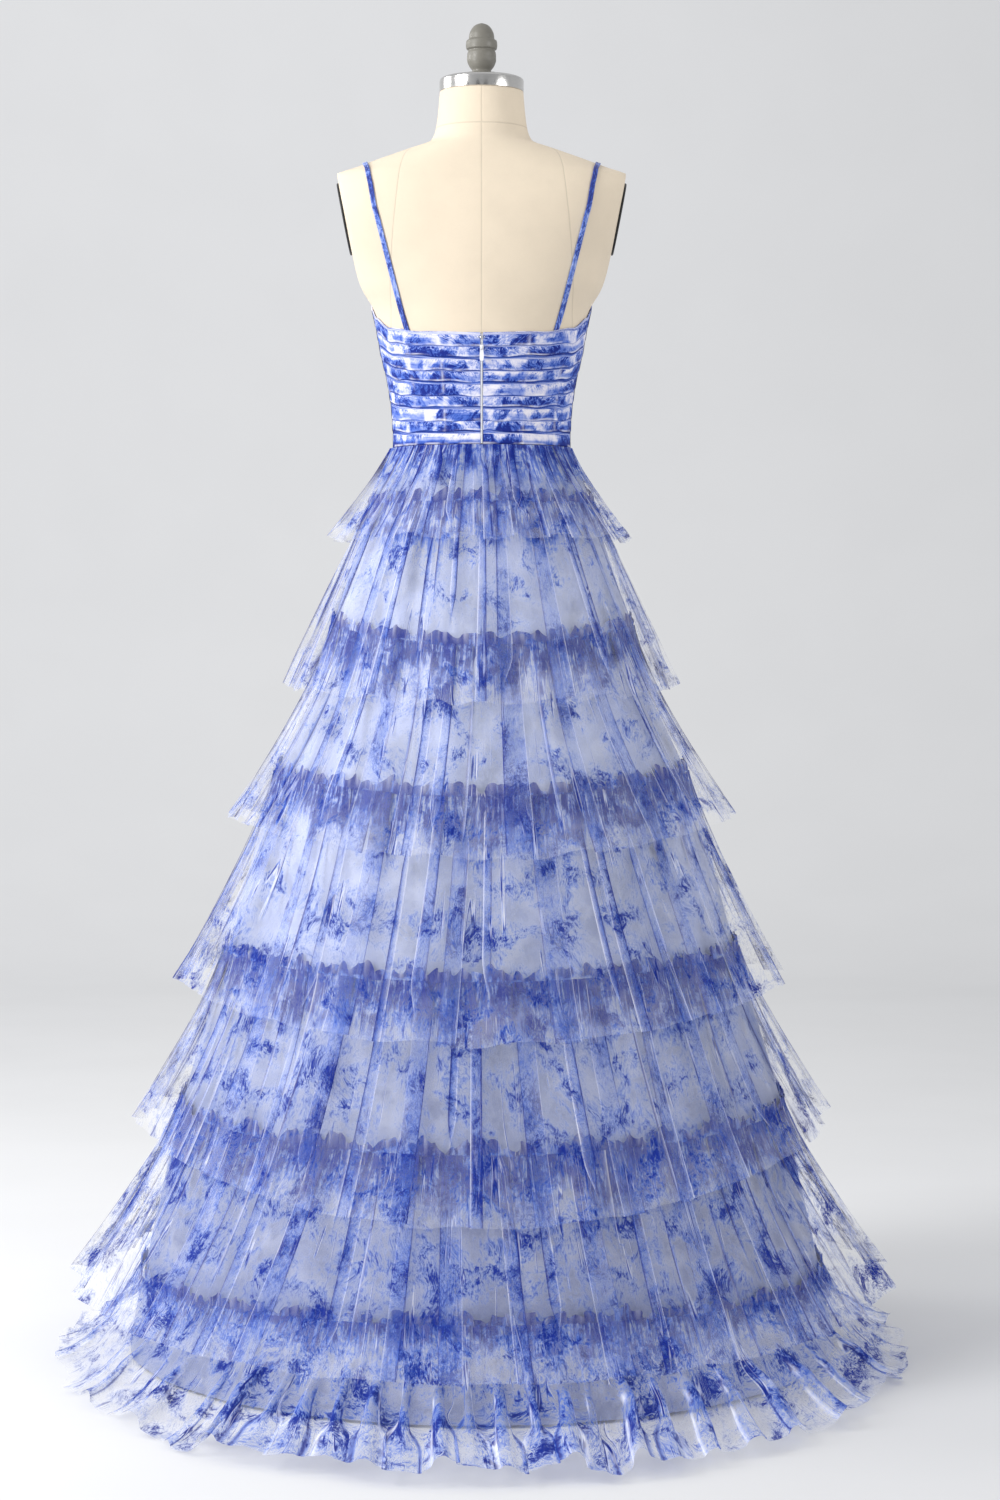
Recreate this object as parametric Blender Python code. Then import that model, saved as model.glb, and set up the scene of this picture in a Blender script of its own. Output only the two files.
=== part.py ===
"""A-line prom dress of tiered printed tulle, worn on a limbless dress form.

Metres, +Z up. The origin lies on the floor under the middle of the stand's base.
The wearer's front faces -Y, so the zip is at +Y, and +X is the wearer's left.

The skirt is an opaque lining with seven gathered tiers sewn onto it, one below
the other, each hanging over the seam of the next. The bodice is three pleated
panels that lie on the form, closed by a zip with a hook and eye at the top.

Angles run round the body from the wearer's left side (0) through the centre
back (90 degrees), the right side (180) and the centre front (270).
"""
import math
from collections import namedtuple

import bmesh
import bpy
from mathutils import Matrix, Vector
from mathutils.bvhtree import BVHTree

# ---------------------------------------------------------------- driving sizes
GAP = 0.0003                # clearance left at every seam and seat
TIER_WALL = 0.0014          # tulle with its doubled gathers, as a solid wall
LINING_WALL = 0.0012
BODICE_WALL = 0.0020        # lining, boning and base layers under the pleats
WAIST_Z = 1.1620            # the seam between bodice and skirt
BODY_COLUMNS = 32           # flats round the form, shared by the bodice
LINING_COLUMNS = 48
COLUMNS_PER_WAVE = 4        # crest, side, trough, side
ANGLE_STEP = 0.002          # radians either side of a point, for its slope

PLEATS = 9                  # level pleats on each bodice panel
PLEAT_STEP = 0.0015         # how far a pleat's folded lower edge stands proud
PLEAT_AT_ZIP = 0.2          # what is left of the step where it is sewn to the zip
FRONT_EASE = 0.0006         # the front stands this far off the back's line
ZIP_OPENING = 0.0030        # between the two back panels

STRAP_WIDTH = 0.0085
STRAP_WALL = 0.0016
STRAP_CLEARANCE = 0.0005
STRAP_LEAST = 0.0004        # what a stretch keeps over the roundest places
STRAP_LAYINGS = 5           # passes that lift it over them

ARM_PLANE_X = 0.1650        # the flat cut of the armhole, at ARM_PLANE_Z
ARM_PLANE_Z = 1.4000
ARM_PLANE_LEAN = 0.191      # outward run for each metre of height

BUST_RISE = 0.020           # the cups, over the plain front of the body
FORM_BUST_RISE = 0.0155     # the padded form under them, which the cups stand off
FORM_INSET = 0.0005         # the form, inside the plain body that the panels follow
BUST_X = 0.078
BUST_Z = 1.325
BUST_WIDTH = 0.042
BUST_HEIGHT = 0.052
BUST_HEIGHTS = (1.301, 1.327, 1.352)        # more rings of the form there

# --------------------------------------------------------------- section tables
# Half-width at the side seams, and the reach back (+Y) and forward (-Y).
Section = namedtuple("Section", "z half_width back front")

BODY = [
    Section(0.8900, 0.1580, 0.1120, 0.0980),
    Section(0.9600, 0.1650, 0.1205, 0.1040),
    Section(1.0000, 0.1580, 0.1170, 0.1030),
    Section(1.0400, 0.1460, 0.1080, 0.0990),
    Section(1.0890, 0.1300, 0.0960, 0.0930),
    Section(1.1300, 0.1170, 0.0850, 0.0860),
    Section(1.1620, 0.1115, 0.0790, 0.0820),
    Section(1.2000, 0.1130, 0.0795, 0.0850),
    Section(1.2400, 0.1180, 0.0830, 0.0910),
    Section(1.2870, 0.1285, 0.0880, 0.0980),
    Section(1.3150, 0.1335, 0.0915, 0.1020),
    Section(1.3390, 0.1395, 0.0940, 0.1050),
    Section(1.3650, 0.1550, 0.0965, 0.1060),
    Section(1.4010, 0.1720, 0.0990, 0.1040),
    Section(1.4300, 0.1900, 0.1000, 0.0990),
    Section(1.4600, 0.2020, 0.0990, 0.0920),
    Section(1.4900, 0.2050, 0.0930, 0.0800),
    Section(1.5110, 0.1970, 0.0820, 0.0660),
    Section(1.5220, 0.1660, 0.0770, 0.0620),
    Section(1.5340, 0.1330, 0.0715, 0.0600),
    Section(1.5460, 0.0980, 0.0665, 0.0580),
    Section(1.5570, 0.0670, 0.0615, 0.0560),
    Section(1.5720, 0.0600, 0.0585, 0.0545),
    Section(1.6000, 0.0562, 0.0552, 0.0535),
    Section(1.6205, 0.0545, 0.0540, 0.0535),
]

LINING = [                  # the outer face of the skirt's lining
    Section(0.0120, 0.4590, 0.4890, 0.4400),
    Section(0.1010, 0.4400, 0.4700, 0.4100),
    Section(0.3160, 0.3900, 0.4000, 0.3500),
    Section(0.5160, 0.3300, 0.3250, 0.2900),
    Section(0.7440, 0.2650, 0.2450, 0.2220),
    Section(0.8530, 0.2150, 0.2000, 0.1780),
    Section(0.9330, 0.1930, 0.1720, 0.1550),
    Section(1.0300, 0.1620, 0.1330, 0.1230),
    Section(1.0890, 0.1430, 0.1120, 0.1060),
    Section(1.1617, 0.1140, 0.0815, 0.0845),
]

# A tier is sewn on at its seam and hangs to its hem. Heights are given at the
# sides and at the centre back; the front keeps the height of the sides. belly
# bends the fall inward (over 1) between the seam and the hem.
Tier = namedtuple("Tier", "name seam_side seam_back hem_side hem_back "
                          "half_width back front waves depth belly")

TIERS = [
    Tier("tier_1", 1.1617, 1.1617, 1.0430, 1.0430, 0.192, 0.170, 0.165, 18, 0.0055, 1.15),
    Tier("tier_2", 1.0890, 1.0890, 0.8530, 0.8350, 0.250, 0.240, 0.225, 20, 0.0065, 1.00),
    Tier("tier_3", 0.9330, 0.9070, 0.6860, 0.6510, 0.325, 0.325, 0.300, 22, 0.0075, 1.30),
    Tier("tier_4", 0.7440, 0.7220, 0.4780, 0.4350, 0.390, 0.410, 0.365, 22, 0.0080, 1.20),
    Tier("tier_5", 0.5160, 0.5020, 0.2990, 0.2330, 0.443, 0.490, 0.420, 24, 0.0085, 1.20),
    Tier("tier_6", 0.3160, 0.3050, 0.0900, 0.0780, 0.524, 0.600, 0.470, 24, 0.0085, 1.20),
]
TRAIN = Tier("tier_7", 0.1010, 0.1150, 0.0, 0.0, 0.544, 0.753, 0.500, 26, 0.0060, 2.30)

TIER_STEPS = (0.0, 0.45, 1.0)                   # rings of a tier, down its fall
TRAIN_STEPS = (0.0, 0.16, 0.40, 0.68, 1.0)
WAVE_UNEVEN = 0.35          # how much wider or narrower a wave is than the mean
WIDTH_RHYTHM = 2.4          # radians from wave to wave, so that no two widths
DEPTH_RHYTHM = 1.7          # and no two depths follow each other alike
DEPTH_SHIFT = 1.3           # radians from tier to tier
DEPTH_UNEVEN = 0.40         # how much deeper or shallower
DEEPEST = 1 + DEPTH_UNEVEN
GATHER_AT_SEAM = 0.10       # share of a wave's depth that is left at the seam
FOLD_SWAY = 0.035           # radians by which the folds lean on their way down
FOLD_SWAYS = 5              # changes of that lean round the skirt
HEM_DIP = 0.004             # the hem hangs lower in a trough than on a crest

# Height of the bodice's top edge, by angle from the centre back.
Edge = namedtuple("Edge", "angle z")
TOP_EDGE = [
    Edge(0, 1.3020), Edge(35, 1.3045), Edge(60, 1.3120), Edge(80, 1.3280),
    Edge(90, 1.3390), Edge(105, 1.3490), Edge(120, 1.3670), Edge(135, 1.3950),
    Edge(150, 1.4200), Edge(160, 1.4080), Edge(170, 1.3850), Edge(180, 1.3650),
]

# A strap's middle line, as seen from behind and from in front. aim turns from
# straight behind (0) over the shoulder (90) to straight in front (180).
Stop = namedtuple("Stop", "x z aim")
STRAP_STOPS = [
    Stop(0.0945, None, 0), Stop(0.1010, 1.330, 0), Stop(0.1090, 1.360, 0),
    Stop(0.1180, 1.395, 0), Stop(0.1270, 1.430, 0), Stop(0.1350, 1.460, 0),
    Stop(0.1420, 1.480, 15), Stop(0.1460, 1.480, 35), Stop(0.1490, 1.480, 55),
    Stop(0.1500, 1.480, 75), Stop(0.1495, 1.480, 95), Stop(0.1470, 1.480, 115),
    Stop(0.1420, 1.480, 135), Stop(0.1340, 1.480, 155), Stop(0.1220, 1.470, 180),
    Stop(0.1060, 1.447, 180), Stop(0.0925, None, 180),
]

# The zip, its slider with the bridge that the pull tab hangs from, and the tab.
ZIP_WIDTH = 0.0022
ZIP_TOP_Z = 1.2860
ZIP_PROUD = 0.0006          # the teeth, past the plain face of the panels
SLIDER_Z = 1.2830           # height of the pull tab's axis
SLIDER_WIDTH = 0.0050
SLIDER_HEIGHT = 0.0080
SLIDER_PLATE = 0.0012
BRIDGE_WIDTH = 0.0018
BRIDGE_INNER = 0.0012       # radii of the bridge about the pull tab's axis
BRIDGE_OUTER = 0.0021
AXIS_OFF_PLATE = 0.00085
TAB_LENGTH = 0.0170
TAB_WIDTH = 0.0062
TAB_WALL = 0.0009
TAB_EYE_HALF_WIDTH = 0.0013
TAB_EYE_DEPTH = 0.0029      # from the axis to the far end of the eye
TAB_RIM = 0.0010            # metal beside the eye
TAB_DROP = 1.4              # over 1, the tab widens late, like a drop
TAB_ROUNDNESS = 0.55        # powers of the sine: 1 gives an oval, less a fuller one
EYE_ROUNDNESS = 0.5

HOOK_Z = 1.2965
HOOK_WIDTH = 0.0012
HOOK_WALL = 0.00044
EYE_X = -0.0016             # the eye's middle, on the right panel's side
EYE_HALF_WIDTH = 0.0022
EYE_HALF_HEIGHT = 0.0015
WIRE = 0.0003               # radius of the eye's wire

# The dress form and its stand, all turned about the vertical axis.
Turn = namedtuple("Turn", "r z")
NECK_CAP = [
    Turn(0.0540, 1.6208), Turn(0.0545, 1.6225), Turn(0.0545, 1.6350), Turn(0.0530, 1.6375),
    Turn(0.0490, 1.6390), Turn(0.0300, 1.6402), Turn(0.0150, 1.6408),
]
FINIAL = [
    Turn(0.0135, 1.6411), Turn(0.0142, 1.6440), Turn(0.0120, 1.6480), Turn(0.0160, 1.6540),
    Turn(0.0188, 1.6620), Turn(0.0186, 1.6700), Turn(0.0172, 1.6745), Turn(0.0197, 1.6765),
    Turn(0.0203, 1.6815), Turn(0.0197, 1.6865), Turn(0.0168, 1.6890), Turn(0.0160, 1.6950),
    Turn(0.0130, 1.7020), Turn(0.0080, 1.7072), Turn(0.0020, 1.7095),
]
SOCKET = [
    Turn(0.0210, 0.8600), Turn(0.0230, 0.8620), Turn(0.0230, 0.8780), Turn(0.0340, 0.8820),
    Turn(0.0340, 0.8897),
]
POLE = [Turn(0.0125, 0.0353), Turn(0.0125, 0.8597)]
BASE = [
    Turn(0.1780, 0.0000), Turn(0.1800, 0.0020), Turn(0.1800, 0.0080), Turn(0.1750, 0.0110),
    Turn(0.0600, 0.0150), Turn(0.0280, 0.0180), Turn(0.0220, 0.0240), Turn(0.0220, 0.0350),
]
Round = namedtuple("Round", "node profile segments finish")
ROUND_PIECES = [
    Round("neck_cap", NECK_CAP, 28, "steel"),
    Round("finial", FINIAL, 16, "painted"),
    Round("form_socket", SOCKET, 16, "steel"),
    Round("stand_pole", POLE, 20, "steel"),
    Round("stand_base", BASE, 28, "painted"),
]
ARM_PLATE_Y = 0.004
ARM_PLATE_Z = 1.4570
ARM_PLATE_HALF_HEIGHT = 0.0470
ARM_PLATE_HALF_DEPTH = 0.0400
ARM_PLATE_WALL = 0.0030
ARM_PLATE_SEGMENTS = 24
ARM_PLATE_RINGS = ((0.1, 1.0), (0.7, 1.0), (1.0, 0.95))     # share of the wall, and of the oval

# ---------------------------------------------------------------- finishes
Finish = namedtuple("Finish", "color roughness metallic")
FINISHES = {
    "tulle": Finish((0.30, 0.38, 0.80), 0.80, 0.0),
    "bodice": Finish((0.36, 0.42, 0.80), 0.65, 0.0),
    "lining": Finish((0.46, 0.49, 0.76), 0.45, 0.0),
    "strap": Finish((0.25, 0.32, 0.72), 0.60, 0.0),
    "linen": Finish((0.86, 0.77, 0.63), 0.90, 0.0),
    "zip": Finish((0.80, 0.82, 0.90), 0.40, 0.0),
    "pull": Finish((0.90, 0.90, 0.92), 0.30, 0.2),
    "steel": Finish((0.75, 0.74, 0.72), 0.22, 1.0),
    "painted": Finish((0.22, 0.22, 0.20), 0.55, 0.0),
    "dark": Finish((0.05, 0.05, 0.05), 0.45, 0.3),
}


# ---------------------------------------------------------------- small helpers
def lerp(a, b, t):
    return a + (b - a) * t


def section_at(table, z):
    """The table's section at height z, straight between its rows."""
    z = min(max(z, table[0].z), table[-1].z)
    for low, high in zip(table, table[1:]):
        if z <= high.z:
            break
    t = (z - low.z) / (high.z - low.z)
    return Section(z, *(lerp(a, b, t) for a, b in zip(low[1:], high[1:])))


def ring_point(section, angle):
    """A point of the section's oval at an angle in radians."""
    x = section.half_width * math.cos(angle)
    reach = section.back if math.sin(angle) > 0 else section.front
    return Vector((x, reach * math.sin(angle), section.z))


def ring_normal(section, angle):
    """The level direction that leaves the section's oval squarely."""
    reach = section.back if math.sin(angle) > 0 else section.front
    return Vector((math.cos(angle) / section.half_width, math.sin(angle) / reach, 0.0)).normalized()


def bust(point, angle, rise):
    """How far the bust pushes a point of the front forward."""
    across = (abs(point.x) - BUST_X) / BUST_WIDTH
    up = (point.z - BUST_Z) / BUST_HEIGHT
    facing = max(0.0, -math.sin(angle))
    return rise * facing * math.exp(-across * across - up * up)


def body_point(z, angle, out=0.0, rise=BUST_RISE):
    """A point of the body at a height and angle, moved level outward."""
    def plain(a):
        point = ring_point(section_at(BODY, z), a)
        point.y -= bust(point, a, rise)
        return point
    along = plain(angle + ANGLE_STEP) - plain(angle - ANGLE_STEP)
    normal = Vector((along.y, -along.x, 0.0)).normalized()
    return plain(angle) + normal * out


def top_edge(angle):
    """Height of the bodice's top edge at an angle in radians."""
    turn = abs(math.degrees(angle) - 90.0)
    turn = min(turn, 360.0 - turn)
    for low, high in zip(TOP_EDGE, TOP_EDGE[1:]):
        if turn <= high.angle:
            t = (turn - low.angle) / (high.angle - low.angle)
            return lerp(low.z, high.z, t * t * (3 - 2 * t))
    return TOP_EDGE[-1].z


def add_object(name, bm, finish, smooth=40):
    """Put a finished bmesh into the scene under its own material."""
    bmesh.ops.recalc_face_normals(bm, faces=bm.faces)
    mesh = bpy.data.meshes.new(name)
    bm.to_mesh(mesh)
    bm.free()
    mesh.shade_smooth()
    mesh.set_sharp_from_angle(angle=math.radians(smooth))
    obj = bpy.data.objects.new(name, mesh)
    bpy.context.scene.collection.objects.link(obj)
    look = FINISHES[finish]
    material = bpy.data.materials.new(name)
    material.use_nodes = True
    shader = material.node_tree.nodes["Principled BSDF"]
    shader.inputs["Base Color"].default_value = (*look.color, 1.0)
    shader.inputs["Roughness"].default_value = look.roughness
    shader.inputs["Metallic"].default_value = look.metallic
    material.diffuse_color = (*look.color, 1.0)
    mesh.materials.append(material)
    return obj


def wall(outer, inner, around):
    """A closed wall between two grids of points, given row by row.

    Neighbouring inner rows may be one and the same list, where two outer rows
    stand on one inner row. around joins the last column to the first.
    """
    bm = bmesh.new()
    made = {}

    def verts(row):
        if id(row) not in made:
            made[id(row)] = [bm.verts.new(point) for point in row]
        return made[id(row)]

    skins = [[verts(row) for row in outer], [verts(row) for row in inner]]
    count = len(outer[0])
    pairs = [(i, (i + 1) % count) for i in range(count if around else count - 1)]
    for skin in skins:
        for row, below in zip(skin, skin[1:]):
            if row is not below:
                for i, j in pairs:
                    bm.faces.new((row[i], row[j], below[j], below[i]))
    for end in (0, -1):
        for i, j in pairs:
            bm.faces.new((skins[0][end][i], skins[0][end][j], skins[1][end][j], skins[1][end][i]))
    if not around:
        for side in (0, -1):
            for k in range(len(outer) - 1):
                corners = [skins[0][k][side], skins[0][k + 1][side], skins[1][k + 1][side]]
                if skins[1][k] is not skins[1][k + 1]:
                    corners.append(skins[1][k][side])
                bm.faces.new(corners)
    return bm


def bar(rings, closed=False):
    """A solid through equal rings of points, capped unless it closes on itself."""
    bm = bmesh.new()
    loops = [[bm.verts.new(point) for point in ring] for ring in rings]
    count = len(loops[0])
    following = loops[1:] + loops[:1] if closed else loops[1:]
    for loop, after in zip(loops, following):
        for i in range(count):
            j = (i + 1) % count
            bm.faces.new((loop[i], loop[j], after[j], after[i]))
    if not closed:
        bm.faces.new(loops[0])
        bm.faces.new(loops[-1])
    return bm


def turned(profile, segments):
    """A solid turned about the vertical axis, closed by flat ends."""
    def circle(turn):
        steps = (2 * math.pi * i / segments for i in range(segments))
        return [Vector((turn.r * math.cos(a), turn.r * math.sin(a), turn.z)) for a in steps]
    return bar([circle(turn) for turn in profile])


def box(low, high):
    """A box between two corners, as a bmesh."""
    rings = [[Vector((x, y, z)) for x, y in ((low[0], low[1]), (high[0], low[1]),
                                             (high[0], high[1]), (low[0], high[1]))]
             for z in (low[2], high[2])]
    return bar(rings)


# ---------------------------------------------------------------- the skirt
def lining():
    """The opaque underskirt that carries the seven tiers."""
    columns = [2 * math.pi * i / LINING_COLUMNS for i in range(LINING_COLUMNS)]
    rows = list(reversed(LINING))
    outer = [[ring_point(row, a) for a in columns] for row in rows]
    inner = [[ring_point(Section(row.z, row.half_width - LINING_WALL, row.back - LINING_WALL,
                                 row.front - LINING_WALL), a) for a in columns] for row in rows]
    add_object("skirt_lining", wall(outer, inner, around=True), "lining")


def fold_columns(waves, seed):
    """Uneven waves round the skirt: the angle of each column and its push.

    A wave is wider or narrower and deeper or shallower than its neighbours by
    steps that never repeat in line with them. Push is at most DEEPEST either way.
    """
    widths = [1.0 + WAVE_UNEVEN * math.sin(WIDTH_RHYTHM * k + seed) for k in range(waves)]
    total = sum(widths)
    columns = []
    start = 0.0
    for k, width in enumerate(widths):
        depth = 1.0 + DEPTH_UNEVEN * math.sin(DEPTH_RHYTHM * k + DEPTH_SHIFT * seed)
        for step in range(COLUMNS_PER_WAVE):
            phase = step / COLUMNS_PER_WAVE
            angle = 2 * math.pi * (start + phase * width) / total
            columns.append((angle, depth * math.cos(2 * math.pi * phase)))
        start += width
    return columns


def around_height(angle, side, back):
    """A height that is one value at the sides and front and another behind."""
    behind = max(0.0, math.sin(angle))
    return lerp(side, back, behind * behind)


def seam_clearance(columns):
    """Room for the flats of a tier's seam over the corners of the lining."""
    widest = section_at(LINING, TRAIN.seam_side).half_width
    return GAP + widest * (1 - math.cos(math.pi / columns))


def grid_normals(grid):
    """Outward or upward normals of a grid of points that closes around."""
    count = len(grid[0])
    normals = []
    for k, row in enumerate(grid):
        above = grid[max(k - 1, 0)]
        below = grid[min(k + 1, len(grid) - 1)]
        normals.append([(row[(i + 1) % count] - row[i - 1]).cross(above[i] - below[i]).normalized()
                        for i in range(count)])
    return normals


def tier_wall(name, grid):
    """A tier's wall on its inner grid, thickened along the cloth's normal."""
    outer = [[point + normal * TIER_WALL for point, normal in zip(row, normals)]
             for row, normals in zip(grid, grid_normals(grid))]
    add_object(name, wall(outer, grid, around=True), "tulle", smooth=60)


def hanging_tier(tier, seed):
    """A gathered tier, from its seam on the lining to its free hem."""
    folds = fold_columns(tier.waves, seed)
    clearance = seam_clearance(len(folds))
    hem = Section(0.0, tier.half_width, tier.back, tier.front)
    grid = []
    for t in TIER_STEPS:
        row = []
        for angle, push in folds:
            a = angle + FOLD_SWAY * t * math.sin(FOLD_SWAYS * angle + seed)
            seam_z = around_height(a, tier.seam_side, tier.seam_back)
            hem_z = around_height(a, tier.hem_side, tier.hem_back) + HEM_DIP * push
            seam = section_at(LINING, seam_z)
            level = ring_normal(seam, a)
            start = ring_point(seam, a) + level * clearance
            point = start.lerp(ring_point(hem, a), t ** tier.belly)
            point.z = lerp(seam_z, hem_z, t)
            lift = push * lerp(GATHER_AT_SEAM, 1.0, t) + GATHER_AT_SEAM * DEEPEST * (1 - t)
            row.append(point + level * tier.depth * lift)
        grid.append(row)
    tier_wall(tier.name, grid)


def train_tier(tier, seed):
    """The last tier, which falls to the floor and spreads over it behind."""
    folds = fold_columns(tier.waves, seed)
    clearance = seam_clearance(len(folds))
    hem = Section(0.0, tier.half_width, tier.back, tier.front)
    plain = []
    for t in TRAIN_STEPS:
        row = []
        for angle, _ in folds:
            a = angle + FOLD_SWAY * t * math.sin(FOLD_SWAYS * angle + seed)
            seam_z = around_height(a, tier.seam_side, tier.seam_back)
            seam = section_at(LINING, seam_z)
            start = ring_point(seam, a) + ring_normal(seam, a) * clearance
            point = start.lerp(ring_point(hem, a), t)
            point.z = seam_z * (1 - t) ** tier.belly
            row.append(point)
        plain.append(row)
    grid = []
    for t, row, normals in zip(TRAIN_STEPS, plain, grid_normals(plain)):
        rise = tier.depth * lerp(GATHER_AT_SEAM, 1.0, min(1.0, 2 * t))
        grid.append([point + normal * rise * (DEEPEST + push)
                     for point, normal, (_, push) in zip(row, normals, folds)])
    for row in grid:
        for point in row:
            point.z = max(point.z, 0.0)
    tier_wall(tier.name, grid)


# ---------------------------------------------------------------- the bodice
def bodice_panel(name, first, last, ease=0.0):
    """A panel between two angles, with shingled pleats over a plain inside.

    Each pleat slopes inward from its folded lower edge, which stands proud of
    the top of the pleat below it. A shared column too near the panel's edge is
    left out.
    """
    flat = 2 * math.pi / BODY_COLUMNS
    inside = [flat * k for k in range(BODY_COLUMNS + 1) if first + flat / 3 < flat * k < last - flat / 3]
    columns = [first, *inside, last]
    low = WAIST_Z + GAP

    def pleat_step(angle):
        from_back = abs(angle - math.pi / 2)
        return PLEAT_STEP * lerp(PLEAT_AT_ZIP, 1.0, min(1.0, from_back / flat))

    def row(t, out):
        return [body_point(lerp(low, top_edge(a), t), a, GAP + ease + out(a)) for a in columns]

    outer = []
    inner = [row(k / PLEATS, lambda a: 0.0) for k in range(PLEATS + 1)]
    backing = []
    for k in range(PLEATS):
        outer.append(row(k / PLEATS, lambda a: BODICE_WALL + pleat_step(a)))
        outer.append(row((k + 1) / PLEATS, lambda a: BODICE_WALL))
        backing += [inner[k], inner[k + 1]]
    add_object(name, wall(outer, backing, around=False), "bodice", smooth=30)


def bodice():
    """The front and the two back panels, apart at the side seams and the zip."""
    narrowest = section_at(BODY, WAIST_Z).half_width
    side = GAP / 2 / narrowest
    zip_half = ZIP_OPENING / 2 / narrowest
    bodice_panel("bodice_back_left", side, math.pi / 2 - zip_half)
    bodice_panel("bodice_back_right", math.pi / 2 + zip_half, math.pi - side)
    bodice_panel("bodice_front", math.pi + side, 2 * math.pi - side, FRONT_EASE)


# ---------------------------------------------------------------- the dress form
def arm_plane(z):
    return ARM_PLANE_X + (z - ARM_PLANE_Z) * ARM_PLANE_LEAN


def form_torso():
    """The padded linen body, flat at the armholes, from hip to neck."""
    columns = [2 * math.pi * i / BODY_COLUMNS for i in range(BODY_COLUMNS)]
    heights = sorted([section.z for section in BODY] + list(BUST_HEIGHTS))
    rings = []
    for z in heights:
        ring = []
        for angle in columns:
            point = body_point(z, angle, -FORM_INSET, FORM_BUST_RISE)
            limit = arm_plane(z)
            point.x = max(-limit, min(limit, point.x))
            ring.append(point)
        rings.append(ring)
    return add_object("form_torso", bar(rings), "linen")


def arm_plate(name, side):
    """An oval metal plate on the flat of the armhole."""
    slope = math.atan(ARM_PLANE_LEAN)
    outward = Vector((side * math.cos(slope), 0.0, -math.sin(slope)))
    upward = Vector((side * math.sin(slope), 0.0, math.cos(slope)))
    middle = Vector((side * arm_plane(ARM_PLATE_Z), ARM_PLATE_Y, ARM_PLATE_Z))
    rings = []
    for out, shrink in ARM_PLATE_RINGS:
        ring = []
        for i in range(ARM_PLATE_SEGMENTS):
            a = 2 * math.pi * i / ARM_PLATE_SEGMENTS
            ring.append(middle + outward * ARM_PLATE_WALL * out
                        + Vector((0, 1, 0)) * ARM_PLATE_HALF_DEPTH * shrink * math.cos(a)
                        + upward * ARM_PLATE_HALF_HEIGHT * shrink * math.sin(a))
        rings.append(ring)
    add_object(name, bar(rings), "dark")


def form_and_stand():
    torso = form_torso()
    arm_plate("arm_plate_left", 1)
    arm_plate("arm_plate_right", -1)
    for piece in ROUND_PIECES:
        add_object(piece.node, turned(piece.profile, piece.segments), piece.finish)
    return torso


# ---------------------------------------------------------------- the straps
def strap(name, side, torso):
    """A narrow strap laid on the form, from the back edge over to the front.

    Each stop's three points across the strap are laid on the form by a ray
    that comes in from behind, from above or from in front.
    """
    tree = BVHTree.FromPolygons([v.co for v in torso.data.vertices],
                                [p.vertices for p in torso.data.polygons])

    def on_form(x, z, aim):
        direction = Vector((0.0, math.cos(aim), math.sin(aim)))
        centre = Vector((x, 0.0, z))
        hit, normal, _, _ = tree.ray_cast(centre + direction, -direction)
        return hit, normal

    def above_edge(x, aim):
        """Height just over the panel's rim, which is straight between columns."""
        rim_z = TOP_EDGE[0].z if aim == 0 else max(edge.z for edge in TOP_EDGE)
        section = section_at(BODY, rim_z)
        flat = 2 * math.pi / BODY_COLUMNS
        heights = []
        for offset in (-STRAP_WIDTH / 2, STRAP_WIDTH / 2):
            turn = math.acos((x + offset) / section.half_width)
            angle = turn if aim == 0 else 2 * math.pi - turn
            low = math.floor(angle / flat)
            heights.append(lerp(top_edge(flat * low), top_edge(flat * (low + 1)), angle / flat - low))
        return max(heights) + 2 * GAP

    def hover(a, b):
        """Least height of a straight stretch over the form, along its normal."""
        heights = []
        for t in (0.2, 0.4, 0.6, 0.8):
            point = a.lerp(b, t)
            hit, normal, _, _ = tree.find_nearest(point)
            heights.append((point - hit).dot(normal))
        return min(heights)

    laid = []
    for stop in STRAP_STOPS:
        height = above_edge(stop.x, stop.aim) if stop.z is None else stop.z
        laid.append([on_form(side * (stop.x + k * STRAP_WIDTH / 2), height, math.radians(stop.aim))
                     for k in (-1, 0, 1)])
    lift = [STRAP_CLEARANCE] * len(laid)
    for _ in range(STRAP_LAYINGS):
        # lift both ends of each stretch that would cut across a rounded place
        under = [[hit + normal * up for hit, normal in stop] for up, stop in zip(lift, laid)]
        for i, (row, after) in enumerate(zip(under, under[1:])):
            short = max(STRAP_LEAST - hover(a, b) for a, b in zip(row, after))
            if short > 0:
                lift[i] += short
                lift[i + 1] += short
    rings = []
    for up, stop in zip(lift, laid):
        under = [hit + normal * up for hit, normal in stop]
        over = [hit + normal * (up + STRAP_WALL) for hit, normal in stop]
        rings.append(over + under[::-1])
    add_object(name, bar(rings), "strap")


# ---------------------------------------------------------------- zip, hook, eye
def back_y(z):
    """The form's surface at the centre back."""
    return section_at(BODY, z).back


def zip_chain():
    """The closed teeth, standing in the opening between the back panels."""
    rows = 8
    rings = []
    for k in range(rows + 1):
        z = lerp(WAIST_Z + 2 * GAP, ZIP_TOP_Z, k / rows)
        low = back_y(z) + GAP
        high = back_y(z) + GAP + BODICE_WALL + ZIP_PROUD
        half = ZIP_WIDTH / 2
        rings.append([Vector((-half, low, z)), Vector((half, low, z)),
                      Vector((half, high, z)), Vector((-half, high, z))])
    add_object("zip_chain", bar(rings), "zip")


def slider_plate_y():
    """Inner face of the slider's plate: just clear of the teeth and panels."""
    return back_y(SLIDER_Z + SLIDER_HEIGHT / 2) + GAP + BODICE_WALL + ZIP_PROUD + GAP


def tab_axis():
    return Vector((0.0, slider_plate_y() + SLIDER_PLATE + AXIS_OFF_PLATE, SLIDER_Z))


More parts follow.
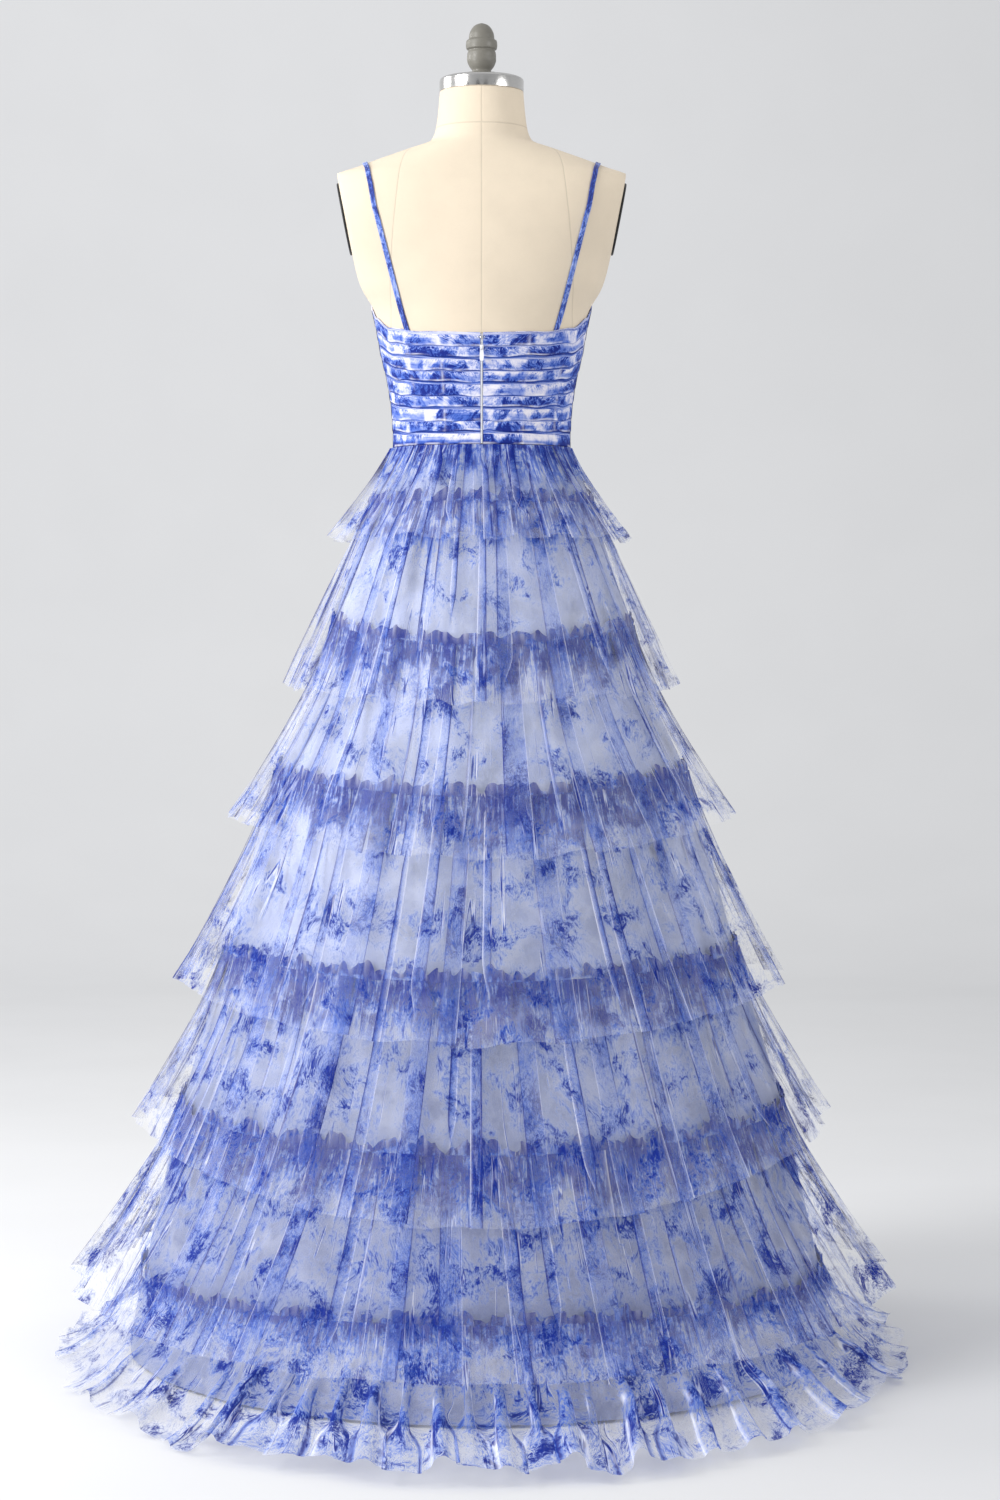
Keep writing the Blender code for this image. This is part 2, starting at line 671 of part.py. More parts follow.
def zip_slider():
    """The slider's plate with the bridge that keeps the pull tab."""
    near = slider_plate_y()
    plate = add_object("zip_slider", box(
        (-SLIDER_WIDTH / 2, near, SLIDER_Z - SLIDER_HEIGHT / 2),
        (SLIDER_WIDTH / 2, near + SLIDER_PLATE, SLIDER_Z + SLIDER_HEIGHT / 2)), "pull")
    axis = tab_axis()
    root = near + SLIDER_PLATE / 2
    arc = [math.radians(d) for d in range(-90, 91, 30)]
    outline = [Vector((0, root, axis.z - BRIDGE_OUTER))]
    outline += [axis + Vector((0, math.cos(a), math.sin(a))) * BRIDGE_OUTER for a in arc]
    outline += [Vector((0, root, axis.z + BRIDGE_OUTER)), Vector((0, root, axis.z + BRIDGE_INNER))]
    outline += [axis + Vector((0, math.cos(a), math.sin(a))) * BRIDGE_INNER for a in reversed(arc)]
    outline += [Vector((0, root, axis.z - BRIDGE_INNER))]
    across = Vector((BRIDGE_WIDTH / 2, 0, 0))
    bridge = add_object("zip_bridge", bar([[p - across for p in outline],
                                           [p + across for p in outline]]), "pull")
    bridge.hide_render = True
    bridge.display_type = "WIRE"
    joined = plate.modifiers.new("bridge", "BOOLEAN")
    joined.operation = "UNION"
    joined.solver = "EXACT"
    joined.object = bridge


def zip_tab():
    """The drop-shaped pull tab, hanging from the slider's bridge."""
    axis = tab_axis()
    crown = TAB_WALL / 2                        # the bar of the eye, about the axis
    rim = TAB_EYE_HALF_WIDTH + TAB_RIM
    outer = []
    hole = []
    steps = 20
    for k in range(steps):
        a = 2 * math.pi * k / steps
        # a drop: narrow at the eye, full at two thirds of its length
        down = (1 - math.cos(a)) / 2
        width = lerp(rim, TAB_WIDTH / 2, down ** TAB_DROP) * abs(math.sin(a)) ** TAB_ROUNDNESS
        outer.append((math.copysign(width, math.sin(a)), crown - down * (TAB_LENGTH + crown)))
        reach = TAB_EYE_DEPTH - crown
        x = TAB_EYE_HALF_WIDTH * math.copysign(abs(math.sin(a)) ** EYE_ROUNDNESS, math.sin(a))
        along = math.copysign(abs(math.cos(a)) ** EYE_ROUNDNESS, math.cos(a))
        hole.append((x, -crown - reach * (1 - along) / 2))
    half = Vector((0, TAB_WALL / 2, 0))
    bm = bmesh.new()
    faces = []
    for offset in (-half, half):
        faces.append([[bm.verts.new(Vector((x, axis.y, axis.z + z)) + offset) for x, z in line]
                      for line in (outer, hole)])
    for k in range(steps):
        j = (k + 1) % steps
        for line in (0, 1):
            bm.faces.new((faces[0][line][k], faces[0][line][j], faces[1][line][j], faces[1][line][k]))
        for side in (0, 1):
            rim_line, eye_line = faces[side]
            bm.faces.new((rim_line[k], rim_line[j], eye_line[j], eye_line[k]))
    tab = add_object("zip_tab", bm, "pull", smooth=30)
    tab.data.transform(Matrix.Translation(-axis))
    tab.location = axis


def hook_and_eye():
    """A wire eye on the right panel and a flat hook on the left one through it."""
    surface = back_y(HOOK_Z) + GAP + BODICE_WALL + PLEAT_STEP * PLEAT_AT_ZIP * 2
    lift = surface + GAP + WIRE
    sides = 6
    steps = 16
    rings = []
    for k in range(steps):
        a = 2 * math.pi * k / steps
        middle = Vector((EYE_X + EYE_HALF_WIDTH * math.cos(a), lift,
                         HOOK_Z + EYE_HALF_HEIGHT * math.sin(a)))
        outward = Vector((math.cos(a) / EYE_HALF_WIDTH, 0, math.sin(a) / EYE_HALF_HEIGHT)).normalized()
        rings.append([middle + (outward * math.cos(b) + Vector((0, 1, 0)) * math.sin(b)) * WIRE
                      for b in (2 * math.pi * s / sides for s in range(sides))])
    add_object("eye", bar(rings, closed=True), "steel")
    # the hook's middle line, as run towards the left panel and rise off the cloth
    Bend = namedtuple("Bend", "run rise")
    line = [Bend(0.0048, 0.0), Bend(0.0024, 0.0), Bend(0.0015, 0.00055), Bend(0.0006, 0.00090),
            Bend(-0.0003, 0.00080), Bend(-0.0007, 0.0001), Bend(-0.0004, -0.0006),
            Bend(0.0003, -0.0009)]
    rings = []
    half = HOOK_WIDTH / 2
    for k, bend in enumerate(line):
        before = line[max(k - 1, 0)]
        after = line[min(k + 1, len(line) - 1)]
        normal = Vector((before.rise - after.rise, after.run - before.run)).normalized()
        normal *= HOOK_WALL / 2
        rings.append([Vector((bend.run + s * normal.x, lift + bend.rise + s * normal.y, HOOK_Z + w))
                      for s, w in ((-1, -half), (1, -half), (1, half), (-1, half))])
    add_object("hook", bar(rings), "steel")


# ---------------------------------------------------------------- the whole part
def main():
    for obj in list(bpy.data.objects):
        bpy.data.objects.remove(obj, do_unlink=True)
    torso = form_and_stand()
    lining()
    for seed, tier in enumerate(TIERS, start=1):
        hanging_tier(tier, seed)
    train_tier(TRAIN, len(TIERS) + 1)
    bodice()
    strap("strap_left", 1, torso)
    strap("strap_right", -1, torso)
    zip_chain()
    zip_slider()
    zip_tab()
    hook_and_eye()


main()
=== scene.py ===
"""The looks of a tiered tulle dress on its dress form, built around a fixed frame.

Metres, +Z up. The wearer's front faces -Y, the zip is at +Y and +X is the wearer's
left. Angles run round the body from the left side (0) through the centre back (90
degrees), the right side (180) and the centre front (270).

The tables of sections and tiers repeat the sizes that the frame was built from, so
each sheet of cloth lies in the wall that stands for it.
"""

import math
from collections import namedtuple

import bmesh
import bpy
import numpy as np
from bpy.props import FloatProperty, FloatVectorProperty, PointerProperty
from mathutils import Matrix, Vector
from mathutils.bvhtree import BVHTree


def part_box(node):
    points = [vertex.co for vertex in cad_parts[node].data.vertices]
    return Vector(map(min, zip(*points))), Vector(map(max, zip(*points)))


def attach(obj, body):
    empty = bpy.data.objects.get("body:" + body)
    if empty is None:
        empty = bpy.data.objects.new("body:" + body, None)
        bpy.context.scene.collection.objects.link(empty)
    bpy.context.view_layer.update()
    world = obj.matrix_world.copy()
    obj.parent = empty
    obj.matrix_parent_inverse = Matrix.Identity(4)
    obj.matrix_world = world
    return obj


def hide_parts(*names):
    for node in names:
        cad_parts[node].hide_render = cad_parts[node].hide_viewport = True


bl_info = {
    "name": "Tiered tulle dress",
    "version": (1, 0, 0),
    "blender": (4, 5, 0),
    "location": "View3D > Sidebar > Dress",
    "description": "Cloth, form, fastenings and studio for a tiered tulle dress",
    "category": "Add Mesh",
}

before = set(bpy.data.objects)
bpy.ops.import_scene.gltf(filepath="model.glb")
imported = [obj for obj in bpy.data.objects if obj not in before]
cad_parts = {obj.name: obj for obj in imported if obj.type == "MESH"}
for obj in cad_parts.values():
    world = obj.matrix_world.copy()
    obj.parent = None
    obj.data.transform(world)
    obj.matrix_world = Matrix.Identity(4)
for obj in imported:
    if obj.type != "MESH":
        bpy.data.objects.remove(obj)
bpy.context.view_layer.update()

# ------------------------------------------------------------ sizes of the frame
GAP = 0.0003
TIER_WALL = 0.0014
BODICE_WALL = 0.0020
WAIST_Z = 1.1620
PLEATS = 9
PLEAT_STEP = 0.0015
PLEAT_AT_ZIP = 0.2
ZIP_OPENING = 0.0030
BUST_RISE = 0.020
FORM_BUST_RISE = 0.0155
FORM_INSET = 0.0005
BUST = (0.078, 1.325, 0.042, 0.052)         # x, z, width and height of a cup
ARM_PLANE_X = 0.1650
ARM_PLANE_Z = 1.4000
ARM_PLANE_LEAN = 0.191
STRAP_WIDTH = 0.0085
STRAP_WALL = 0.0016

# height, half-width at the side seams, reach back (+Y) and reach forward (-Y)
BODY = np.array([
    (0.8900, 0.1580, 0.1120, 0.0980), (0.9600, 0.1650, 0.1205, 0.1040),
    (1.0000, 0.1580, 0.1170, 0.1030), (1.0400, 0.1460, 0.1080, 0.0990),
    (1.0890, 0.1300, 0.0960, 0.0930), (1.1300, 0.1170, 0.0850, 0.0860),
    (1.1620, 0.1115, 0.0790, 0.0820), (1.2000, 0.1130, 0.0795, 0.0850),
    (1.2400, 0.1180, 0.0830, 0.0910), (1.2870, 0.1285, 0.0880, 0.0980),
    (1.3150, 0.1335, 0.0915, 0.1020), (1.3390, 0.1395, 0.0940, 0.1050),
    (1.3650, 0.1550, 0.0965, 0.1060), (1.4010, 0.1720, 0.0990, 0.1040),
    (1.4300, 0.1900, 0.1000, 0.0990), (1.4600, 0.2020, 0.0990, 0.0920),
    (1.4900, 0.2050, 0.0930, 0.0800), (1.5110, 0.1970, 0.0820, 0.0660),
    (1.5220, 0.1660, 0.0770, 0.0620), (1.5340, 0.1330, 0.0715, 0.0600),
    (1.5460, 0.0980, 0.0665, 0.0580), (1.5570, 0.0670, 0.0615, 0.0560),
    (1.5720, 0.0600, 0.0585, 0.0545), (1.6000, 0.0562, 0.0552, 0.0535),
    (1.6205, 0.0545, 0.0540, 0.0535),
])
LINING = np.array([
    (0.0120, 0.4590, 0.4890, 0.4400), (0.1010, 0.4400, 0.4700, 0.4100),
    (0.3160, 0.3900, 0.4000, 0.3500), (0.5160, 0.3300, 0.3250, 0.2900),
    (0.7440, 0.2650, 0.2450, 0.2220), (0.8530, 0.2150, 0.2000, 0.1780),
    (0.9330, 0.1930, 0.1720, 0.1550), (1.0300, 0.1620, 0.1330, 0.1230),
    (1.0890, 0.1430, 0.1120, 0.1060), (1.1617, 0.1140, 0.0815, 0.0845),
])

Tier = namedtuple("Tier", "name seam_side seam_back hem_side hem_back "
                          "half_width back front waves depth belly")
TIERS = [
    Tier("tier_1", 1.1617, 1.1617, 1.0430, 1.0430, 0.192, 0.170, 0.165, 18, 0.0055, 1.15),
    Tier("tier_2", 1.0890, 1.0890, 0.8530, 0.8350, 0.250, 0.240, 0.225, 20, 0.0065, 1.00),
    Tier("tier_3", 0.9330, 0.9070, 0.6860, 0.6510, 0.325, 0.325, 0.300, 22, 0.0075, 1.30),
    Tier("tier_4", 0.7440, 0.7220, 0.4780, 0.4350, 0.390, 0.410, 0.365, 22, 0.0080, 1.20),
    Tier("tier_5", 0.5160, 0.5020, 0.2990, 0.2330, 0.443, 0.490, 0.420, 24, 0.0085, 1.20),
    Tier("tier_6", 0.3160, 0.3050, 0.0900, 0.0780, 0.524, 0.600, 0.470, 24, 0.0085, 1.20),
]
TRAIN = Tier("tier_7", 0.1010, 0.1150, 0.0, 0.0, 0.544, 0.753, 0.500, 26, 0.0060, 2.30)
WAVE_UNEVEN, WIDTH_RHYTHM = 0.35, 2.4
DEPTH_UNEVEN, DEPTH_RHYTHM, DEPTH_SHIFT = 0.40, 1.7, 1.3
DEEPEST = 1 + DEPTH_UNEVEN
GATHER_AT_SEAM = 0.10
FOLD_SWAY, FOLD_SWAYS = 0.035, 5
HEM_DIP = 0.004

TOP_EDGE = np.array([       # degrees from the centre back, height
    (0, 1.3020), (35, 1.3045), (60, 1.3120), (80, 1.3280), (90, 1.3390), (105, 1.3490),
    (120, 1.3670), (135, 1.3950), (150, 1.4200), (160, 1.4080), (170, 1.3850), (180, 1.3650),
])

# ------------------------------------------------------------ creases of the skirt
# Each is a flat fold of three layers: its distance to the wearer's left of the centre
# back, halfway down the tier; its width; the shares of the fall where it starts and
# ends; and the side that it turns to.
RIBBONS = {
    "tier_1": [
        (0.118, 0.010, -0.3, 0.9, 1), (0.092, 0.007, -0.3, 1.2, -1), (0.066, 0.012, 0.1, 1.2, 1),
        (0.043, 0.009, -0.3, 0.8, 1), (0.020, 0.013, -0.3, 1.2, -1), (-0.004, 0.009, 0.2, 1.2, 1),
        (-0.026, 0.015, -0.3, 1.2, -1), (-0.049, 0.010, -0.3, 0.7, 1), (-0.072, 0.007, 0.3, 1.2, -1),
        (-0.100, 0.013, -0.3, 1.2, 1), (-0.124, 0.008, -0.3, 0.8, -1),
    ],
    "tier_2": [
        (0.178, 0.018, -0.3, 0.9, 1), (0.142, 0.014, 0.1, 1.2, -1), (0.112, 0.010, -0.3, 1.2, 1),
        (0.078, 0.007, 0.2, 0.8, -1), (0.039, 0.008, -0.3, 0.6, 1), (-0.002, 0.010, 0.1, 1.2, 1),
        (-0.031, 0.016, -0.3, 0.9, -1), (-0.087, 0.020, 0.0, 1.2, -1), (-0.130, 0.006, -0.3, 0.9, 1),
        (-0.166, 0.017, 0.1, 1.2, -1),
    ],
    "tier_3": [
        (0.208, 0.016, -0.3, 1.2, -1), (0.172, 0.010, 0.1, 0.9, 1), (0.139, 0.024, -0.3, 1.2, 1),
        (0.076, 0.010, 0.0, 1.2, -1), (0.047, 0.012, -0.3, 0.9, 1), (-0.045, 0.030, -0.3, 1.2, -1),
        (-0.086, 0.006, 0.2, 0.9, 1), (-0.115, 0.019, -0.3, 1.2, -1), (-0.172, 0.022, 0.0, 1.2, 1),
        (-0.219, 0.013, -0.3, 0.9, -1),
    ],
    "tier_4": [
        (0.246, 0.018, -0.3, 1.2, 1), (0.196, 0.012, 0.1, 0.9, -1), (0.146, 0.028, -0.3, 1.2, 1),
        (0.100, 0.007, 0.2, 1.2, -1), (0.061, 0.015, -0.3, 0.9, 1), (0.026, 0.021, 0.1, 1.2, -1),
        (-0.010, 0.011, -0.3, 0.8, 1), (-0.084, 0.032, -0.3, 1.2, -1), (-0.138, 0.007, 0.0, 0.9, 1),
        (-0.160, 0.010, -0.3, 1.2, 1), (-0.206, 0.017, 0.2, 1.2, -1), (-0.251, 0.024, -0.3, 1.2, -1),
    ],
    "tier_5": [
        (0.300, 0.020, -0.3, 1.2, -1), (0.248, 0.012, 0.1, 1.2, 1), (0.190, 0.024, -0.3, 0.9, 1),
        (0.132, 0.012, -0.3, 1.2, -1), (0.078, 0.025, 0.0, 1.2, 1), (0.034, 0.010, -0.3, 0.7, -1),
        (0.008, 0.014, 0.1, 1.2, 1), (-0.055, 0.024, -0.3, 1.2, -1), (-0.108, 0.011, 0.2, 0.9, 1),
        (-0.150, 0.022, -0.3, 1.2, 1), (-0.220, 0.014, 0.0, 1.2, -1), (-0.282, 0.022, -0.3, 1.2, -1),
    ],
    "tier_6": [
        (0.350, 0.022, -0.3, 1.2, 1), (0.288, 0.014, 0.0, 1.2, -1), (0.226, 0.024, -0.3, 1.2, 1),
        (0.160, 0.014, 0.1, 0.9, -1), (0.096, 0.020, -0.3, 1.2, 1), (0.043, 0.026, -0.3, 1.2, -1),
        (-0.028, 0.016, 0.0, 1.2, 1), (-0.074, 0.012, -0.3, 0.8, -1), (-0.132, 0.026, -0.3, 1.2, 1),
        (-0.200, 0.015, 0.1, 1.2, -1), (-0.268, 0.024, -0.3, 1.2, -1), (-0.340, 0.018, 0.0, 1.2, 1),
    ],
}
RIBBON_PULL = 3.5           # how far a fold doubles back, in its own spread
RIBBON_SPREAD = 2.47        # width of the doubled part at that pull, in its spread
FOLD_EDGE = 0.78            # where the cloth turns, in the fold's spread
WIDE_SAMPLES = (0.0, 0.3, 0.56, 0.68, 0.78, 0.88, 1.0, 1.25, 1.6, 2.1, 2.8)
NARROW_SAMPLES = (0.0, 0.5, 0.8, 1.1, 1.7, 2.4)
NARROW = 0.006              # folds up to this width take the short list
HEM_CURL = 0.0022
WIDE_SPACING, COLUMN_STEP = 0.075, 0.0065       # of the unplaced folds and of the mesh
DOWN_TIER = np.concatenate([np.linspace(0, 0.2, 10), np.linspace(0.24, 0.96, 22), [0.985, 1.0]])
TIER_INK_SCALE = (0.85, 0.95, 1.05, 1.25, 1.45, 1.70)        # the print darker the lower the tier
OVER_HEADING = 0.45         # how much thinner a tier is over the next one's heading

# ------------------------------------------------------------ the form's profiles
NECK_CAP = [(0.0538, 1.6208), (0.0545, 1.6213), (0.0545, 1.6350), (0.0541, 1.6362),
            (0.0530, 1.6374), (0.0510, 1.6384), (0.0490, 1.6390), (0.0300, 1.6402),
            (0.0150, 1.6408)]
FINIAL = [(0.0135, 1.6411), (0.0142, 1.6440), (0.0120, 1.6480), (0.0160, 1.6540),
          (0.0188, 1.6620), (0.0186, 1.6700), (0.0172, 1.6745), (0.0197, 1.6765),
          (0.0203, 1.6815), (0.0197, 1.6865), (0.0168, 1.6890), (0.0160, 1.6950),
          (0.0130, 1.7020), (0.0080, 1.7072), (0.0020, 1.7095)]
SOCKET = [(0.0210, 0.8600), (0.0224, 0.8606), (0.0230, 0.8620), (0.0230, 0.8780),
          (0.0336, 0.8818), (0.0340, 0.8826), (0.0340, 0.8897)]
POLE = [(0.0125, 0.0353), (0.0125, 0.8597)]
BASE = [(0.1780, 0.0000), (0.1796, 0.0006), (0.1800, 0.0020), (0.1800, 0.0080),
        (0.1788, 0.0100), (0.1750, 0.0110), (0.0600, 0.0150), (0.0280, 0.0180),
        (0.0232, 0.0205), (0.0220, 0.0240), (0.0220, 0.0344), (0.0214, 0.0350)]


# ------------------------------------------------------------ settings
def length(name, text, value):
    return FloatProperty(name=name, description=text, default=value, min=0.0, unit="LENGTH",
                         precision=4)


def share(name, text, value):
    return FloatProperty(name=name, description=text, default=value, min=0.0, max=1.0,
                         subtype="FACTOR")


def tint(name, text, value):
    return FloatVectorProperty(name=name, description=text, default=value, size=3, min=0.0,
                               max=1.0, subtype="COLOR")


class TulleSettings(bpy.types.PropertyGroup):
    """The printed tulle of the tiers, straps and bodice."""
    ground: tint("Ground", "Colour of the unprinted cloth", (0.93, 0.93, 0.96))
    pale: tint("Pale ink", "Lightest blue of the print", (0.320, 0.415, 0.770))
    mid: tint("Mid ink", "Middle blue of the print", (0.056, 0.140, 0.570))
    deep: tint("Deep ink", "Darkest blue of the print", (0.008, 0.024, 0.240))
    veil: share("Veil", "How much one bare layer hides", 0.055)
    coverage: share("Coverage", "Share of the cloth that is printed", 0.42)
    layer_gap: length("Layer gap", "Distance between the layers of a fold", 0.0013)
    wrinkle: length("Wrinkle", "Depth of the small waves between the folds", 0.0022)
    heading: length("Heading", "Height of the gathered edge above each seam", 0.0145)


class LiningSettings(bpy.types.PropertyGroup):
    """The satin-faced skirt lining."""
    color: tint("Colour", "Colour of the lining", (0.340, 0.385, 0.560))
    sag: length("Sag", "Depth of its soft vertical waves", 0.0030)


class BodiceSettings(bpy.types.PropertyGroup):
    """The pleated bodice."""
    waver: length("Waver", "How far a pleat's edge strays from level", 0.0014)
    bone: length("Bone", "Height of the ridges over the bones", 0.0005)


class FormSettings(bpy.types.PropertyGroup):
    """The dress form and its stand."""
    linen: tint("Linen", "Colour of the form's cover", (0.830, 0.715, 0.560))
    paint: tint("Paint", "Colour of the finial and the base", (0.205, 0.195, 0.168))
    steel: tint("Steel", "Colour of the cap, socket and pole", (0.74, 0.73, 0.71))


class StageSettings(bpy.types.PropertyGroup):
    """The studio."""
    paper: tint("Paper", "Colour of the floor and backdrop", (0.830, 0.832, 0.838))
    key_power: FloatProperty(name="Key", description="Power of the key light", default=66.0,
                             min=0.0, unit="POWER")
    fill: FloatProperty(name="Fill", description="Strength of the light from all round",
                        default=0.65, min=0.0)


# ------------------------------------------------------------ shapes
def smoothstep(low, high, x):
    t = np.clip((x - low) / (high - low), 0.0, 1.0)
    return t * t * (3 - 2 * t)


def lerp(a, b, t):
    return a + (b - a) * t


def full_turn(count):
    """Even angles all the way round."""
    return np.linspace(0, 2 * np.pi, count, endpoint=False)


def step_lengths(points, **ends):
    return np.linalg.norm(np.diff(points, axis=0, **ends), axis=-1)


def travelled(steps):
    """The distance from the start after each step."""
    return np.concatenate([[0.0], np.cumsum(steps)])


def slopes(x, y):
    """Slopes that keep a cubic through the rows from overshooting them."""
    step = np.diff(x)[:, None]
    rise = np.diff(y, axis=0) / step
    near, far = 2 * step[1:] + step[:-1], step[1:] + 2 * step[:-1]
    level = rise[1:] * rise[:-1] <= 0
    safe = np.where(level, 1.0, rise[1:]), np.where(level, 1.0, rise[:-1])
    middle = np.where(level, 0.0, (near + far) / (near / safe[1] + far / safe[0]))
    return np.concatenate((rise[:1], middle, rise[-1:]))


def section_at(table, z):
    """Half-width, back and front at heights z, smooth between the table's rows."""
    x, y = table[:, 0], table[:, 1:]
    z = np.clip(z, x[0], x[-1])
    i = np.clip(np.searchsorted(x, z) - 1, 0, len(x) - 2)
    h = (x[i + 1] - x[i])[..., None]
    t = (z - x[i])[..., None] / h
    m = slopes(x, y)
    return ((1 + 2 * t) * (1 - t) ** 2 * y[i] + t * (1 - t) ** 2 * h * m[i]
            + t * t * (3 - 2 * t) * y[i + 1] + t * t * (t - 1) * h * m[i + 1])


def ring_point(section, angle, z):
    """Points of the sections' ovals at angles in radians."""
    reach = np.where(np.sin(angle) > 0, section[..., 1], section[..., 2])
    return np.stack([section[..., 0] * np.cos(angle), reach * np.sin(angle),
                     z + np.zeros_like(angle)], -1)


def ring_normal(section, angle):
    """The level direction that leaves the sections' ovals squarely."""
    reach = np.where(np.sin(angle) > 0, section[..., 1], section[..., 2])
    way = np.stack([np.cos(angle) / section[..., 0], np.sin(angle) / reach,
                    np.zeros_like(angle)], -1)
    return way / np.linalg.norm(way, axis=-1, keepdims=True)


def body_point(z, angle, out=0.0, rise=BUST_RISE):
    """Points of the body at heights and angles, moved level outward."""
    z, angle = np.broadcast_arrays(np.asarray(z, float), np.asarray(angle, float))

    def plain(a):
        point = ring_point(section_at(BODY, z), a, z)
        across = (np.abs(point[..., 0]) - BUST[0]) / BUST[2]
        up = (z - BUST[1]) / BUST[3]
        facing = np.clip(-np.sin(a), 0.0, None)
        point[..., 1] -= rise * facing * np.exp(-across * across - up * up)
        return point
    along = plain(angle + 0.002) - plain(angle - 0.002)
    way = np.stack([along[..., 1], -along[..., 0], np.zeros_like(z)], -1)
    way /= np.linalg.norm(way, axis=-1, keepdims=True)
    return plain(angle) + way * np.asarray(out)[..., None]


def top_edge(angle):
    """Height of the bodice's top edge at angles in radians."""
    turn = np.abs(np.degrees(angle) - 90.0)
    turn = np.minimum(turn, 360.0 - turn)
    i = np.clip(np.searchsorted(TOP_EDGE[:, 0], turn) - 1, 0, len(TOP_EDGE) - 2)
    low, high = TOP_EDGE[i], TOP_EDGE[i + 1]
    return lerp(low[..., 1], high[..., 1], smoothstep(low[..., 0], high[..., 0], turn))


def around_height(angle, side, back):
    """A height that is one value at the sides and front and another behind."""
    return lerp(side, back, np.clip(np.sin(angle), 0.0, None) ** 2)


def wave_push(angle, waves, seed):
    """The wall's uneven waves, rounded: 1 or so on a crest, -1 or so in a trough."""
    widths = 1 + WAVE_UNEVEN * np.sin(WIDTH_RHYTHM * np.arange(waves) + seed)
    starts = travelled(widths) / widths.sum() * 2 * np.pi
    turn = angle % (2 * np.pi)
    k = np.clip(np.searchsorted(starts, turn, side="right") - 1, 0, waves - 1)
    phase = (turn - starts[k]) / (starts[k + 1] - starts[k])
    owner = np.where(phase > 0.75, k + 1, k) % waves
    depth = 1 + DEPTH_UNEVEN * np.sin(DEPTH_RHYTHM * owner + DEPTH_SHIFT * seed)
    return depth * np.cos(2 * np.pi * phase)


def ripples(angle, counts, rng):
    """A sum of waves of these whole numbers round the skirt, none in step."""
    total = np.zeros_like(angle)
    for count in counts:
        swing = rng.uniform(0.5, 1.4) * np.sin(rng.integers(2, 9) * angle + rng.uniform(0, 6.3))
        total += np.sin(count * angle + rng.uniform(0, 6.3) + swing) * rng.uniform(0.6, 1.0)
    return total / len(counts) ** 0.5


def crinkles(angle, around, widths, rng):
    """Ripples of these widths, in metres, on a ring this long."""
    return ripples(angle, [int(around / width) for width in widths], rng)


# ------------------------------------------------------------ meshes
def finish_piece(obj, material, body="root", stands_for=()):
    """Give a piece its material and the body that it moves with."""
    obj.data.materials.clear()
    obj.data.materials.append(material)
    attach(obj, body)
    if stands_for:
        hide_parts(*stands_for)
    return obj


def add_mesh(name, points, faces):
    mesh = bpy.data.meshes.new(name)
    mesh.from_pydata(np.asarray(points).reshape(-1, 3).tolist(), [], faces)
    mesh.shade_smooth()
    obj = bpy.data.objects.new(name, mesh)
    bpy.context.scene.collection.objects.link(obj)
    return obj


def add_grid(name, points, closed, cloth=None, values=None):
    """A sheet through a grid of points, row by row, with cloth lengths as its map.

    cloth is (across, down) at each point, and its across has one column more than
    the grid where the sheet closes round.
    """
    rows, cols = points.shape[:2]
    at = np.arange(rows * cols).reshape(rows, cols)
    beside = np.roll(at, -1, 1) if closed else at[:, 1:]
    here = at if closed else at[:, :-1]
    faces = np.stack([here[:-1], here[1:], beside[1:], beside[:-1]], -1).reshape(-1, 4)
    obj = add_mesh(name, points, faces.tolist())
    if cloth is not None:
        across, down = cloth
        uv = np.stack([np.broadcast_to(across, (rows, across.shape[-1])),
                       np.broadcast_to(down, (rows, across.shape[-1]))], -1)
        corners = np.stack([uv[:-1, :-1], uv[1:, :-1], uv[1:, 1:], uv[:-1, 1:]], -2)
        layer = obj.data.uv_layers.new(name="cloth")
        layer.uv.foreach_set("vector", corners.astype(np.float32).ravel())
    for key, value in (values or {}).items():
        layer = obj.data.attributes.new(key, "FLOAT", "POINT")
        flat = np.broadcast_to(value, (rows, cols)).astype(np.float32).ravel()
        layer.data.foreach_set("value", flat)
    return obj


def close_up(obj):
    """Fill a mesh's open ends and turn its faces outward."""
    bm = bmesh.new()
    bm.from_mesh(obj.data)
    bmesh.ops.holes_fill(bm, edges=[edge for edge in bm.edges if edge.is_boundary])
    bmesh.ops.recalc_face_normals(bm, faces=bm.faces)
    bm.to_mesh(obj.data)
    bm.free()


def crisp(obj, degrees):
    """Keep the edges sharper than this as edges."""
    obj.data.set_sharp_from_angle(angle=math.radians(degrees))
    return obj


def add_tube(name, rings, closed=False, sharp=None):
    """A solid through equal rings of points, capped unless it closes on itself."""
    rings = np.asarray(rings)
    count, sides = rings.shape[:2]
    at = np.arange(count * sides).reshape(count, sides)
    after = np.roll(at, -1, 0) if closed else at[1:]
    here = at if closed else at[:-1]
    faces = np.stack([here, np.roll(here, -1, 1), np.roll(after, -1, 1), after], -1)
    faces = faces.reshape(-1, 4).tolist()
    if not closed:
        faces += [at[0].tolist(), at[-1].tolist()]
    obj = add_mesh(name, rings, faces)
    close_up(obj)
    return crisp(obj, sharp) if sharp else obj


def spun(profile, segments):
    """Rings of points: a profile of radius and height, carried round."""
    angle = full_turn(segments)
    return np.stack([profile[:, :1] * np.cos(angle), profile[:, :1] * np.sin(angle),
                     profile[:, 1:] + 0 * angle], -1)


def turned(name, profile, segments, rounding=1):
    """A solid turned about the vertical axis; rounding adds points along its curve."""
    profile = np.array(profile)
    if rounding > 1:
        steps = np.arange(len(profile), dtype=float)
        fine = np.linspace(0, len(profile) - 1, (len(profile) - 1) * rounding + 1)
        table = np.column_stack([steps, profile, profile[:, :1]])
        profile = section_at(table, fine)[:, :2]
    return add_tube(name, spun(profile, segments), sharp=40)


